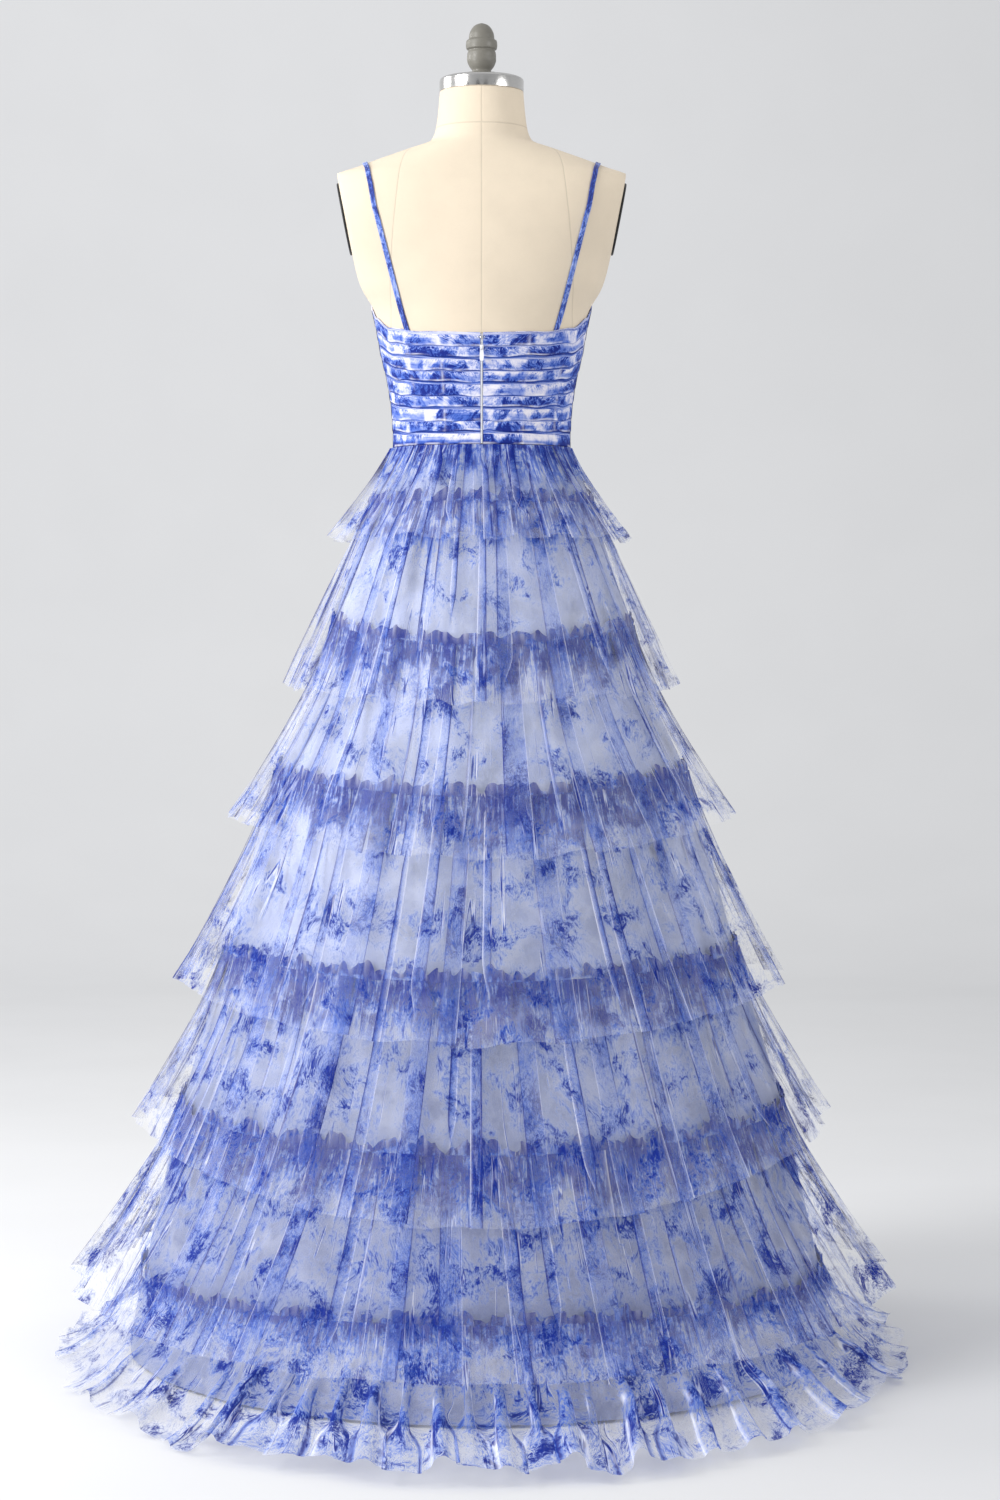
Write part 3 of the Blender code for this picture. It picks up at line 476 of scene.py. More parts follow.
def join(name, parts):
    """Put several meshes into one piece."""
    bpy.ops.object.select_all(action="DESELECT")
    for part in parts:
        part.select_set(True)
    bpy.context.view_layer.objects.active = parts[0]
    bpy.ops.object.join()
    parts[0].name = name
    return parts[0]


# ------------------------------------------------------------ shader parts
def wire(tree, node, ins):
    """Link or set a node's inputs and give back its outputs."""
    for key, value in ins.items():
        if isinstance(value, bpy.types.NodeSocket):
            tree.links.new(value, node.inputs[key])
        else:
            node.inputs[key].default_value = value
    return node.outputs


def put(tree, kind, ins=None, out=0, **settings):
    """Add a shader node, feed its inputs and give back one of its outputs."""
    node = tree.nodes.new("ShaderNode" + kind)
    for key, value in settings.items():
        setattr(node, key, value)
    return wire(tree, node, ins or {})[out]


def sums(tree, operation, *values):
    """A Math node with these values."""
    return put(tree, "Math", dict(enumerate(values)), operation=operation)


def times(tree, a, b):
    return sums(tree, "MULTIPLY", a, b)


def plus(tree, a, b):
    return sums(tree, "ADD", a, b)


def minus(tree, a, b):
    return sums(tree, "SUBTRACT", a, b)


def times_plus(tree, a, b, c):
    """a times b, plus c."""
    return sums(tree, "MULTIPLY_ADD", a, b, c)


def ramp(tree, value, low, high, to_low=0.0, to_high=1.0):
    """A soft step of a value from low to high."""
    return put(tree, "MapRange", {0: value, 1: low, 2: high, 3: to_low, 4: to_high},
               interpolation_type="SMOOTHSTEP")


def mix(tree, factor, a, b, blend="MIX"):
    return put(tree, "Mix", {0: factor, 6: a, 7: b}, out=2, data_type="RGBA", blend_type=blend)


def noise(tree, vector, scale, detail=2.0, rough=0.5, warp=0.0, out=0):
    return put(tree, "TexNoise", {"Vector": vector, "Scale": scale, "Detail": detail,
                                  "Roughness": rough, "Distortion": warp}, out=out)


def axis_of(tree, vector, axis):
    """One of a vector's three parts."""
    return put(tree, "SeparateXYZ", {0: vector}, out=axis)


def stretched(tree, vector, scale):
    """A coordinate multiplied along its axes."""
    return put(tree, "Mapping", {"Vector": vector, "Scale": scale})


def group(name, inputs, outputs, build):
    """A node group, made once; build gets its tree and its inputs by name."""
    tree = bpy.data.node_groups.get(name)
    if tree is None:
        tree = bpy.data.node_groups.new(name, "ShaderNodeTree")
        for key, kind, value in inputs:
            socket = tree.interface.new_socket(key, in_out="INPUT", socket_type="NodeSocket" + kind)
            if value is not None:
                socket.default_value = value
        for key, kind in outputs:
            tree.interface.new_socket(key, in_out="OUTPUT", socket_type="NodeSocket" + kind)
        into = tree.nodes.new("NodeGroupInput")
        result = build(tree, {key: into.outputs[key] for key, _, _ in inputs})
        end = tree.nodes.new("NodeGroupOutput")
        for key, value in result.items():
            tree.links.new(value, end.inputs[key])
    return tree


def use(tree, grouped, **ins):
    """Place a node group and give back its outputs."""
    node = tree.nodes.new("ShaderNodeGroup")
    node.node_tree = grouped
    return wire(tree, node, ins)


def marbled_print():
    """Blots of ink with fibrous edges, over a faint wash. Works in metres of cloth.

    Seam is 1 at a gathered edge, where the ink crowds into streaks, and 0 away from it.
    """
    def build(tree, ins):
        cloth = ins["Vector"]
        drift = noise(tree, cloth, 11.0, 2.0, out=1)
        drift = put(tree, "VectorMath", {0: drift, 1: (0.5, 0.5, 0.5)}, operation="SUBTRACT")
        drift = put(tree, "VectorMath", {0: drift, "Scale": 0.07}, operation="SCALE")
        bent = put(tree, "VectorMath", {0: cloth, 1: drift}, operation="ADD")
        blots = noise(tree, bent, 17.0, 3.0, 0.55)
        patches = noise(tree, bent, 55.0, 6.0, 0.68, 0.6)
        hairs = noise(tree, stretched(tree, bent, (1.0, 0.42, 1.0)), 240.0, 5.0, 0.72, 1.6)
        mixed = times(tree, blots, 0.54)
        mixed = times_plus(tree, patches, 0.32, mixed)
        mixed = times_plus(tree, hairs, 0.14, mixed)
        edge = times_plus(tree, ins["Coverage"], -0.18, 0.585)
        above = minus(tree, mixed, edge)
        grain = ramp(tree, hairs, 0.36, 0.60, 0.22, 1.12)
        soft = times(tree, ramp(tree, above, -0.085, 0.125), grain)
        core = times(tree, ramp(tree, above, 0.03, 0.12), grain)
        ink = times_plus(tree, core, 0.64, times(tree, soft, 0.44))
        fibres = ramp(tree, hairs, 0.48, 0.72)
        ink = times_plus(tree, fibres, 0.16, ink)
        streak = noise(tree, stretched(tree, cloth, (1.0, 0.10, 1.0)), 210.0, 4.0, 0.6, 0.5)
        clumps = times_plus(tree, patches, 0.45, times(tree, streak, 0.55))
        crowd = ramp(tree, clumps, 0.40, 0.58, 0.12, 1.0)
        ink = times_plus(tree, times(tree, crowd, ins["Seam"]), 0.80, ink)
        clouds = noise(tree, cloth, 24.0, 3.0, 0.5)
        wash = ramp(tree, clouds, 0.42, 0.66)
        return {"Ink": ink, "Wash": wash}
    return group("Marbled print", [("Vector", "Vector", None), ("Coverage", "Float", 0.5),
                                   ("Seam", "Float", 0.0)],
                 [("Ink", "Float"), ("Wash", "Float")], build)


def fine_creases():
    """Thin broken creases down the cloth: a dark line of painted shade with a light line of painted
    highlight beside it.
    """
    def build(tree, ins):
        bent = stretched(tree, ins["Vector"], (1.0, 0.045, 1.0))
        field = noise(tree, bent, 62.0, 2.0, 0.5, 0.3)
        broken = noise(tree, stretched(tree, ins["Vector"], (1.0, 0.4, 1.0)), 30.0, 2.0, 0.5)
        gate = ramp(tree, broken, 0.53, 0.62)
        lines = []
        for level in (0.500, 0.516):
            off = sums(tree, "ABSOLUTE", minus(tree, field, level))
            lines.append(times(tree, ramp(tree, off, 0.004, 0.013, 1.0, 0.0), gate))
        return {"Dark": lines[0], "Light": lines[1]}
    return group("Fine creases", [("Vector", "Vector", None)],
                 [("Dark", "Float"), ("Light", "Float")], build)


def ink_color():
    """The print's colour from bare ground to the deepest ink."""
    def build(tree, ins):
        color = mix(tree, ramp(tree, ins["Ink"], 0.02, 0.38), ins["Ground"], ins["Pale"])
        color = mix(tree, ramp(tree, ins["Ink"], 0.24, 0.60), color, ins["Mid"])
        color = mix(tree, ramp(tree, ins["Ink"], 0.54, 0.92), color, ins["Deep"])
        return {"Color": color}
    return group("Ink colour", [("Ink", "Float", 0.0)] + [
        (key, "Color", (1, 1, 1, 1)) for key in ("Ground", "Pale", "Mid", "Deep")],
        [("Color", "Color")], build)


def threads():
    """A plain weave: height of the threads at a pitch in metres."""
    def build(tree, ins):
        turns = sums(tree, "DIVIDE", 2 * math.pi, ins["Pitch"])
        across = axis_of(tree, ins["Vector"], 0)
        down = axis_of(tree, ins["Vector"], 1)
        warp = sums(tree, "SINE", times(tree, across, turns))
        weft = sums(tree, "SINE", times(tree, down, turns))
        slub = noise(tree, ins["Vector"], 300.0, 3.0, 0.6)
        height = plus(tree, times(tree, warp, weft), slub)
        return {"Height": height}
    return group("Threads", [("Vector", "Vector", None), ("Pitch", "Float", 0.001)],
                 [("Height", "Float")], build)


def wear():
    """Uneven polish: a mask of faint smudges and fine scratches."""
    def build(tree, ins):
        smudge = noise(tree, ins["Vector"], ins["Scale"], 4.0, 0.6, 0.4)
        fine = noise(tree, stretched(tree, ins["Vector"], (1.0, 1.0, 14.0)), 160.0, 3.0, 0.6)
        mask = times_plus(tree, fine, 0.4, times(tree, smudge, 0.6))
        return {"Mask": ramp(tree, mask, 0.32, 0.68)}
    return group("Wear", [("Vector", "Vector", None), ("Scale", "Float", 20.0)],
                 [("Mask", "Float")], build)


def new_material(name):
    material = bpy.data.materials.new(name)
    material.use_nodes = True
    return material, material.node_tree, material.node_tree.nodes["Principled BSDF"]


def feed(tree, shader, **sockets):
    """Link or set the shader's inputs; a word's underscores stand for blanks."""
    wire(tree, shader, {key.replace("_", " "): value for key, value in sockets.items()})


def bump(tree, height, strength, distance):
    return put(tree, "Bump", {"Height": height, "Strength": strength, "Distance": distance})


def attribute(tree, name):
    return put(tree, "Attribute", out=2, attribute_name=name)


def woven(tree, vector, pitch):
    """Height of a plain weave's threads."""
    return use(tree, threads(), Vector=vector, Pitch=pitch)["Height"]


def toned(color, part=1.0):
    """A colour times one share, or times one each for its red, green and blue."""
    return (*np.clip(np.array(color) * part, 0.0, 1.0).tolist(), 1.0)


def printed(tree, cloth, coverage, seam=0.0):
    """The print's masks at a cloth coordinate."""
    return use(tree, marbled_print(), Vector=cloth, Coverage=coverage, Seam=seam)


def dyed(tree, look, ink):
    """The print's colour for an amount of ink."""
    return use(tree, ink_color(), Ink=ink, Ground=toned(look.ground), Pale=toned(look.pale),
               Mid=toned(look.mid), Deep=toned(look.deep))["Color"]


def tulle_material(name, coverage, strength):
    """Sheer printed tulle.

    The mesh gives gather, how many times the cloth is gathered; seam, 1 at its gathered
    edge; fold, 1 where it is doubled; and dark and light, the two edges of each fold: dark
    is denser ink with painted shade, light a painted highlight.
    """
    look = bpy.context.scene.dress_tulle
    material, tree, shader = new_material(name)
    cloth = put(tree, "UVMap", uv_map="cloth")
    marks = printed(tree, cloth, coverage, attribute(tree, "seam"))
    creases = use(tree, fine_creases(), Vector=cloth)
    # painted shade and painted highlight of the folds and fine creases; the dark edges also carry
    # denser ink
    dark = times_plus(tree, creases["Dark"], 0.75, attribute(tree, "dark"))
    light = times_plus(tree, creases["Light"], 0.40, attribute(tree, "light"))
    gather = attribute(tree, "gather")
    ink = times(tree, marks["Ink"], strength)
    ink = times_plus(tree, marks["Wash"], 0.05, ink)
    ink = times(tree, ink, attribute(tree, "dye"))
    ink = times_plus(tree, dark, 1.05, ink)
    fold = attribute(tree, "fold")
    color = dyed(tree, look, times_plus(tree, fold, 0.30, ink))
    # painted highlight: the light marks whiten the colour here and thicken the veil below
    color = mix(tree, times(tree, light, 0.85), color, (0.97, 0.97, 1.0, 1.0))
    veil = times_plus(tree, ink, 0.60, look.veil)
    veil = times_plus(tree, marks["Wash"], 0.06, veil)
    veil = times_plus(tree, light, 0.60, veil)
    veil = times(tree, veil, times_plus(tree, fold, -0.25, 1.0))
    clear = minus(tree, 1.0, sums(tree, "MINIMUM", veil, 0.92))
    alpha = minus(tree, 1.0, sums(tree, "POWER", clear, gather))
    # light passes through tulle and scatters, so its shadow is fainter than its look
    shadow = put(tree, "LightPath", out=1)
    alpha = times(tree, alpha, times_plus(tree, shadow, -0.55, 1.0))
    net = woven(tree, cloth, 0.0016)
    feed(tree, shader, Base_Color=color, Roughness=0.75, Alpha=alpha,
         Specular_IOR_Level=0.10, Normal=bump(tree, net, 0.25, 0.0003))
    return material


# ------------------------------------------------------------ studio
SWEEP_FLOOR, SWEEP_COVE, SWEEP_TOP = 4.4, 2.0, 6.5      # reach, radius and height
FLAGS = ((52, 0.16), (80, 0.24), (101, 0.20), (128, 0.14))      # degrees, half-width
FLAG_REACH, FLAG_HEIGHTS = 3.2, (0.9, 2.6)
LIGHTS = [                  # name, place, aim, size, share of the key's power
    ("key", (2.5, 1.5, 2.7), (0.1, 0.0, 1.1), 1.5, 1.0),
    ("skirt_light", (2.4, 1.25, 1.15), (0.2, 0.1, 0.72), 0.9, 0.50),
    ("side", (2.7, -0.9, 2.3), (0.0, 0.0, 1.0), 1.2, 0.35),
    ("fill", (-3.7, 2.4, 1.9), (0.0, 0.0, 1.0), 2.4, 0.85),
    ("backdrop_light", (0.9, -3.0, 3.6), (0.9, -6.4, 1.6), 2.4, 0.30),
]
LENS, SENSOR = 76.04, 36.0                              # millimetres
CAMERA_PLACE, CAMERA_DIP, CAMERA_TURN = (0.0, 4.1213, 0.8972), 0.030827, 0.0057637
LAYERS_SEEN_THROUGH = 32


def paper_material(look):
    """Matt paper, with painted shade darker towards the camera and to the camera's right."""
    material, tree, shader = new_material("paper")
    place = put(tree, "TexCoord", out=3)
    color = mix(tree, ramp(tree, noise(tree, place, 3.0, 3.0), 0.3, 0.7),
                         toned(look.paper), toned(look.paper, 0.985))
    # painted shade: the paper darkens towards the camera and to the camera's right
    shade = plus(tree, ramp(tree, axis_of(tree, place, 1), -0.6, 0.9, 0.0, 0.17),
                 ramp(tree, axis_of(tree, place, 0), -3.0, 0.8, 0.13, 0.0))
    color = mix(tree, shade, color, (0.10, 0.10, 0.10, 1.0))
    # clear from outside, so that the views from farther off look in
    behind = put(tree, "NewGeometry", out=6)
    feed(tree, shader, Base_Color=color, Roughness=0.9, Specular_IOR_Level=0.1,
         Alpha=minus(tree, 1.0, behind))
    return material


class DRESS_OT_stage(bpy.types.Operator):
    """Build the backdrop, the lights and the camera"""
    bl_idname = "dress.stage"
    bl_label = "Studio"

    def execute(self, context):
        scene = context.scene
        look = scene.dress_stage
        self.backdrop(look)
        self.flags()
        scene.world = bpy.data.worlds.new("studio")
        scene.world.use_nodes = True
        back = scene.world.node_tree.nodes["Background"]
        back.inputs["Color"].default_value = (0.97, 0.98, 1.0, 1.0)
        back.inputs["Strength"].default_value = look.fill
        for name, place, aim, size, part in LIGHTS:
            light = bpy.data.lights.new(name, "AREA")
            light.shape = "DISK"
            light.size = size
            light.energy = look.key_power * part
            lamp = bpy.data.objects.new(name, light)
            lamp.location = place
            lamp.rotation_euler = (Vector(aim) - Vector(place)).to_track_quat("-Z", "Y").to_euler()
            lamp.visible_camera = False
            scene.collection.objects.link(lamp)

        camera = bpy.data.cameras.new("camera")
        camera.sensor_fit = "VERTICAL"
        camera.sensor_height = SENSOR
        camera.lens = LENS
        eye = bpy.data.objects.new("camera", camera)
        eye.location = CAMERA_PLACE
        eye.rotation_euler = (math.pi / 2 - CAMERA_DIP, 0.0, math.pi - CAMERA_TURN)
        scene.collection.objects.link(eye)
        scene.camera = eye
        scene.view_settings.view_transform = "Standard"
        scene.cycles.transparent_max_bounces = LAYERS_SEEN_THROUGH
        return {"FINISHED"}

    def backdrop(self, look):
        """A round sweep of paper: level floor, cove and upright wall."""
        bend = np.radians(np.linspace(0, 90, 15))
        profile = [(r, 0.0) for r in (0.02, 0.6, 1.2, 2.0, 3.2)]
        profile += zip(SWEEP_FLOOR + SWEEP_COVE * np.sin(bend), SWEEP_COVE * (1 - np.cos(bend)))
        profile.append((SWEEP_FLOOR + SWEEP_COVE, SWEEP_TOP))
        sweep = add_grid("backdrop", spun(np.array(profile), 96), closed=True)
        sweep.data.materials.append(paper_material(look))
        sweep.visible_diffuse = sweep.visible_shadow = False

    def flags(self):
        """Dark flags beside the camera, seen only in the steel's reflections."""
        black, tree, shader = new_material("flag")
        feed(tree, shader, Base_Color=(0.01, 0.01, 0.01, 1.0), Roughness=1.0)
        for turn, half in FLAGS:
            toward = np.array((math.cos(math.radians(turn)), math.sin(math.radians(turn)), 0))
            beside = np.array((-toward[1], toward[0], 0)) * half
            corners = [[toward * FLAG_REACH + beside * u + np.array((0, 0, height))
                        for u in (-1, 1)] for height in FLAG_HEIGHTS]
            flag = add_grid("flag", np.array(corners), closed=False)
            flag.data.materials.append(black)
            flag.visible_camera = flag.visible_diffuse = flag.visible_shadow = False
            flag.visible_transmission = False


# ------------------------------------------------------------ dress form and stand
COVER_SEAMS = ((0.0, 0.0), (0.098, -0.12), (-0.098, 0.12))      # place, lean
FORM_HEIGHTS = np.concatenate([np.arange(0.8900, 1.50, 0.0075), np.arange(1.50, 1.6205, 0.0035),
                               [1.6205]])
NECK_SEAM_Z = 1.5735
PADDING = 0.0022            # radius of the padding where it turns flat at an armhole
ARM_PLATE_Y, ARM_PLATE_Z = 0.004, 1.457
ARM_PLATE_HALF = (0.040, 0.047)
ARM_PLATE = [               # distance out, share of the plate's size
    (GAP, 0.99), (0.0006, 1.0), (0.0020, 1.0), (0.0026, 0.990), (0.0030, 0.965), (0.0027, 0.90),
    (0.0027, 0.20), (0.0030, 0.17), (0.0030, 0.05),
]


def linen_material():
    """Plain woven linen, with the cover's seams as fine grooves."""
    material, tree, shader = new_material("linen cover")
    look = bpy.context.scene.dress_form
    place = put(tree, "UVMap", uv_map="cloth")
    across, down = axis_of(tree, place, 0), axis_of(tree, place, 1)
    off = [sums(tree, "ABSOLUTE", minus(tree, across, times_plus(tree, down, lean, where)))
           for where, lean in COVER_SEAMS]
    off.append(sums(tree, "ABSOLUTE", down))
    nearest = off[0]
    for other in off[1:]:
        nearest = sums(tree, "MINIMUM", nearest, other)
    groove = ramp(tree, nearest, 0.0004, 0.0013, 1.0, 0.0)
    weave = woven(tree, place, 0.0011)
    tone = noise(tree, place, 9.0, 4.0, 0.6)
    color = mix(tree, ramp(tree, tone, 0.3, 0.7), toned(look.linen),
                         toned(look.linen, 0.93))
    color = mix(tree, ramp(tree, weave, -0.5, 2.0, 0.0, 0.16), color,
                         toned(look.linen, 0.62))
    color = mix(tree, times(tree, groove, 0.30), color,
                         toned(look.linen, 0.45))
    height = times_plus(tree, groove, -3.0, weave)
    feed(tree, shader, Base_Color=color, Roughness=0.88, Sheen_Weight=0.1,
         Specular_IOR_Level=0.2, Normal=bump(tree, height, 0.35, 0.0005))
    return material


def metal_material(name, color, metallic, rough, scale):
    """Painted, polished or brushed metal with uneven wear."""
    material, tree, shader = new_material(name)
    place = put(tree, "TexCoord", out=3)
    mask = use(tree, wear(), Vector=place, Scale=scale)["Mask"]
    shade = mix(tree, mask, toned(color), toned(color, 0.82))
    gloss = ramp(tree, mask, 0.0, 1.0, rough * 0.8, rough * 1.25)
    feed(tree, shader, Base_Color=shade, Metallic=metallic, Roughness=gloss,
         Normal=bump(tree, mask, 0.08, 0.0002))
    return material


def arm_limit(z):
    return ARM_PLANE_X + (z - ARM_PLANE_Z) * ARM_PLANE_LEAN


class DRESS_OT_form(bpy.types.Operator):
    """Build the padded linen body with its arm plates, neck cap and finial"""
    bl_idname = "dress.form"
    bl_label = "Dress form"

    def execute(self, context):
        look = context.scene.dress_form
        self.body()
        dark = metal_material("arm plate", (0.018, 0.018, 0.018), 0.3, 0.42, 30.0)
        for side, name in ((1, "left"), (-1, "right")):
            self.plate(side, name, dark)
        steel = metal_material("polished steel", look.steel, 1.0, 0.20, 26.0)
        paint = metal_material("grey paint", look.paint, 0.0, 0.42, 40.0)
        cap = turned("cap", NECK_CAP, 96)
        finish_piece(cap, steel, stands_for=["neck_cap"])
        knob = turned("knob", FINIAL, 64, rounding=5)
        finish_piece(knob, paint, stands_for=["finial"])
        return {"FINISHED"}

    def body(self):
        """The padded body, flat at the armholes with its padding rounding into the flat."""
        heights = FORM_HEIGHTS[:, None]
        angle = full_turn(200) + 0 * heights
        points = body_point(heights, angle, -FORM_INSET + 0 * angle, FORM_BUST_RISE)
        limit = arm_limit(points[..., 2])
        half = np.abs(points[..., 0])
        over = half - limit
        cut = limit - PADDING * np.log1p(np.exp(np.clip(-over / PADDING, -40, 40)))
        points[..., 0] = np.sign(points[..., 0]) * np.where(over > -0.012, cut, half)
        arc = np.linalg.norm(np.diff(points, axis=1, append=points[:, :1]), axis=-1)
        round_it = np.cumsum(np.concatenate([0 * arc[:, :1], arc], 1), 1)
        back = round_it[:, [len(angle[0]) // 4]]
        body = add_grid("form_body", points, closed=True,
                        cloth=(round_it - back, heights - NECK_SEAM_Z))
        close_up(body)
        finish_piece(crisp(body, 50), linen_material(), stands_for=["form_torso"])

    def plate(self, side, name, material):
        """The dark plate that closes an armhole."""
        slope = math.atan(ARM_PLANE_LEAN)
        outward = np.array((side * math.cos(slope), 0.0, -math.sin(slope)))
        upward = np.array((side * math.sin(slope), 0.0, math.cos(slope)))
        middle = np.array((side * arm_limit(ARM_PLATE_Z), ARM_PLATE_Y, ARM_PLATE_Z))
        turn = full_turn(64)
        oval = (np.outer(np.cos(turn), (0, 1, 0)) * ARM_PLATE_HALF[0]
                + np.outer(np.sin(turn), upward) * ARM_PLATE_HALF[1])
        plate = add_tube("plate_" + name, [middle + outward * out + oval * size
                                           for out, size in ARM_PLATE], sharp=50)
        finish_piece(plate, material, stands_for=["arm_plate_" + name])


class DRESS_OT_stand(bpy.types.Operator):
    """Build the socket, the pole and the round base"""
    bl_idname = "dress.stand"
    bl_label = "Stand"

    def execute(self, context):
        look = context.scene.dress_form
        steel = metal_material("brushed steel", look.steel, 1.0, 0.30, 14.0)
        paint = metal_material("base paint", look.paint, 0.0, 0.45, 22.0)
        finish_piece(turned("socket", SOCKET, 64), steel, stands_for=["form_socket"])
        finish_piece(turned("pole", POLE, 48), steel, stands_for=["stand_pole"])
        finish_piece(turned("base", BASE, 96), paint, stands_for=["stand_base"])
        return {"FINISHED"}


# ------------------------------------------------------------ skirt lining
LINING_TOP, LINING_HEM, LINING_INSET = 1.1617, 0.0040, 0.0004


class DRESS_OT_lining(bpy.types.Operator):
    """Build the satin-faced skirt lining"""
    bl_idname = "dress.lining"
    bl_label = "Skirt lining"

    def execute(self, context):
        look = context.scene.dress_lining
        z = np.concatenate([np.linspace(LINING_TOP, 0.10, 90),
                            np.linspace(0.088, LINING_HEM, 10)])[:, None]
        angle = full_turn(320) + 0 * z
        section = section_at(LINING, z + 0 * angle)
        wave = ripples(angle[0], (11, 17, 26), np.random.default_rng(5))
        sag = look.sag * smoothstep(1.10, 0.25, z) * (1.2 + wave) / 2.4
        points = (ring_point(section, angle, z)
                  - ring_normal(section, angle) * (LINING_INSET + sag)[..., None])
        across = travelled(step_lengths(points[60], append=points[60, :1]))[None, :]
        skirt = add_grid("lining", points, closed=True, cloth=(across, LINING_TOP - z))
        finish_piece(skirt, self.satin(look), stands_for=["skirt_lining"])
        return {"FINISHED"}

    def satin(self, look):
        material, tree, shader = new_material("lining satin")
        cloth = put(tree, "UVMap", uv_map="cloth")
        clouds = noise(tree, cloth, 17.0, 3.0, 0.55, 0.5)
        soft = noise(tree, cloth, 5.0, 2.0, 0.5)
        color = mix(tree, ramp(tree, clouds, 0.34, 0.68), toned(look.color),
                             toned(look.color, 0.70))
        color = mix(tree, ramp(tree, soft, 0.35, 0.7, 0.0, 0.6), color,
                             toned(look.color, 1.45))
        # darker down the fall, where less light gets under the tiers
        fall = axis_of(tree, cloth, 1)
        color = mix(tree, ramp(tree, fall, 0.35, 1.10, 0.0, 0.80), color,
                             toned(look.color, (0.44, 0.47, 0.62)))
        weave = woven(tree, cloth, 0.0009)
        rough = ramp(tree, clouds, 0.3, 0.7, 0.36, 0.50)
        feed(tree, shader, Base_Color=color, Roughness=rough, Sheen_Weight=0.15,
             Specular_IOR_Level=0.35, Normal=bump(tree, weave, 0.2, 0.0003))
        return material


# ------------------------------------------------------------ tulle tiers
def all_folds(tier, rng):
    """The tier's folds: (angle, width, top, bottom, side), the listed ones behind
    and others like them in front, with narrow pinches between them all."""
    half = lerp(tier.half_width, section_at(LINING, np.array(tier.seam_side))[0], 0.45)
    folds = [(math.acos(max(-0.98, min(0.98, place / half))), *rest)
             for place, *rest in RIBBONS[tier.name]]
    reach = half * 0.95
    placed = sorted(fold[0] for fold in folds)
    turn = placed[-1] + WIDE_SPACING / reach
    while turn < placed[0] + 2 * math.pi - WIDE_SPACING / reach:
        width = rng.choice([0.008, 0.012, 0.016, 0.022]) * rng.uniform(0.8, 1.2)
        folds.append((turn % (2 * math.pi), width, rng.choice([-0.3, 0.1]),
                      rng.choice([0.85, 1.2]), rng.choice([-1, 1])))
        turn += WIDE_SPACING * rng.uniform(0.75, 1.35) / reach
    wide = list(folds)
    turn = 0.0
    while turn < 2 * math.pi:
        width = rng.uniform(0.0024, 0.0044)
        clear = min(abs((turn - f[0] + math.pi) % (2 * math.pi) - math.pi) * reach - f[1] * 1.3
                    for f in wide)
        if clear > width:
            start = rng.choice([-0.3, -0.3, 0.15, 0.4])
            folds.append((turn, width, start, start + rng.uniform(0.5, 1.1), rng.choice([-1, 1])))
        turn += rng.uniform(0.012, 0.034) / reach
    return folds, reach


def fold_columns(folds, reach):
    """Angles of the sheet's columns: even ones, and close ones across each fold."""
    angles = list(np.arange(0, 2 * np.pi, COLUMN_STEP / reach))
    for place, width, *_ in folds:
        spread = width / RIBBON_SPREAD / reach
        samples = NARROW_SAMPLES if width < NARROW else WIDE_SAMPLES
        for x in samples:
            angles += [place + x * spread, place - x * spread]
    angles = np.unique(np.round(np.array(angles) % (2 * np.pi), 6))
    keep = np.concatenate([[True], np.diff(angles) > 0.25 * 0.0028 / RIBBON_SPREAD / reach])
    return angles[keep]


def fold_fields(angles, t, folds, reach, layer_gap):
    """What the folds do to each point: turn it, move it out, and mark its edges: a dark edge of
    denser ink with painted shade, and a painted highlight on the other side.
    """
    shape = (len(t), len(angles))
    turn, out, fold, dark, light = (np.zeros(shape) for _ in range(5))
    for place, width, top, bottom, side in folds:
        spread = width / RIBBON_SPREAD / reach
        x = ((angles - place + np.pi) % (2 * np.pi) - np.pi)[None, :] / spread
        near = np.abs(x[0]) < 4.0
        x = x[:, near]
        held = smoothstep(top - 0.12, top + 0.12, t) * smoothstep(bottom + 0.06, bottom - 0.14, t)
        held = held[:, None]
        bell = x * np.exp(-x * x / 2)
        turn[:, near] -= RIBBON_PULL * spread * bell * held
        deep = layer_gap * min(1.0, width / 0.008)
        out[:, near] -= side * deep * bell / 0.607 * held
        line = max(0.13, 0.0014 / (spread * reach))
        strength = 1.0 if width > NARROW else 0.7
        fold[:, near] += held * np.exp(-(x / 1.7) ** 4)
        # the dark edge: denser ink with painted shade; the light edge: a painted highlight
        dark[:, near] += strength * held * np.exp(-((x + side * FOLD_EDGE) / line) ** 2)
        light[:, near] += 0.95 * strength * held * np.exp(-((x - side * FOLD_EDGE) / line) ** 2)
    return turn, out, {"fold": np.clip(fold, 0, 1), "dark": np.clip(dark, 0, 1),
                       "light": np.clip(light, 0, 1)}


def seam_line(tier, a):
    """Where a tier leaves its seam: heights, points and the level way outward."""
    seam_z = around_height(a, tier.seam_side, tier.seam_back)
    seam = section_at(LINING, seam_z)
    level = ring_normal(seam, a)
    return seam_z, ring_point(seam, a, seam_z) + level * (GAP + TIER_WALL / 2), level


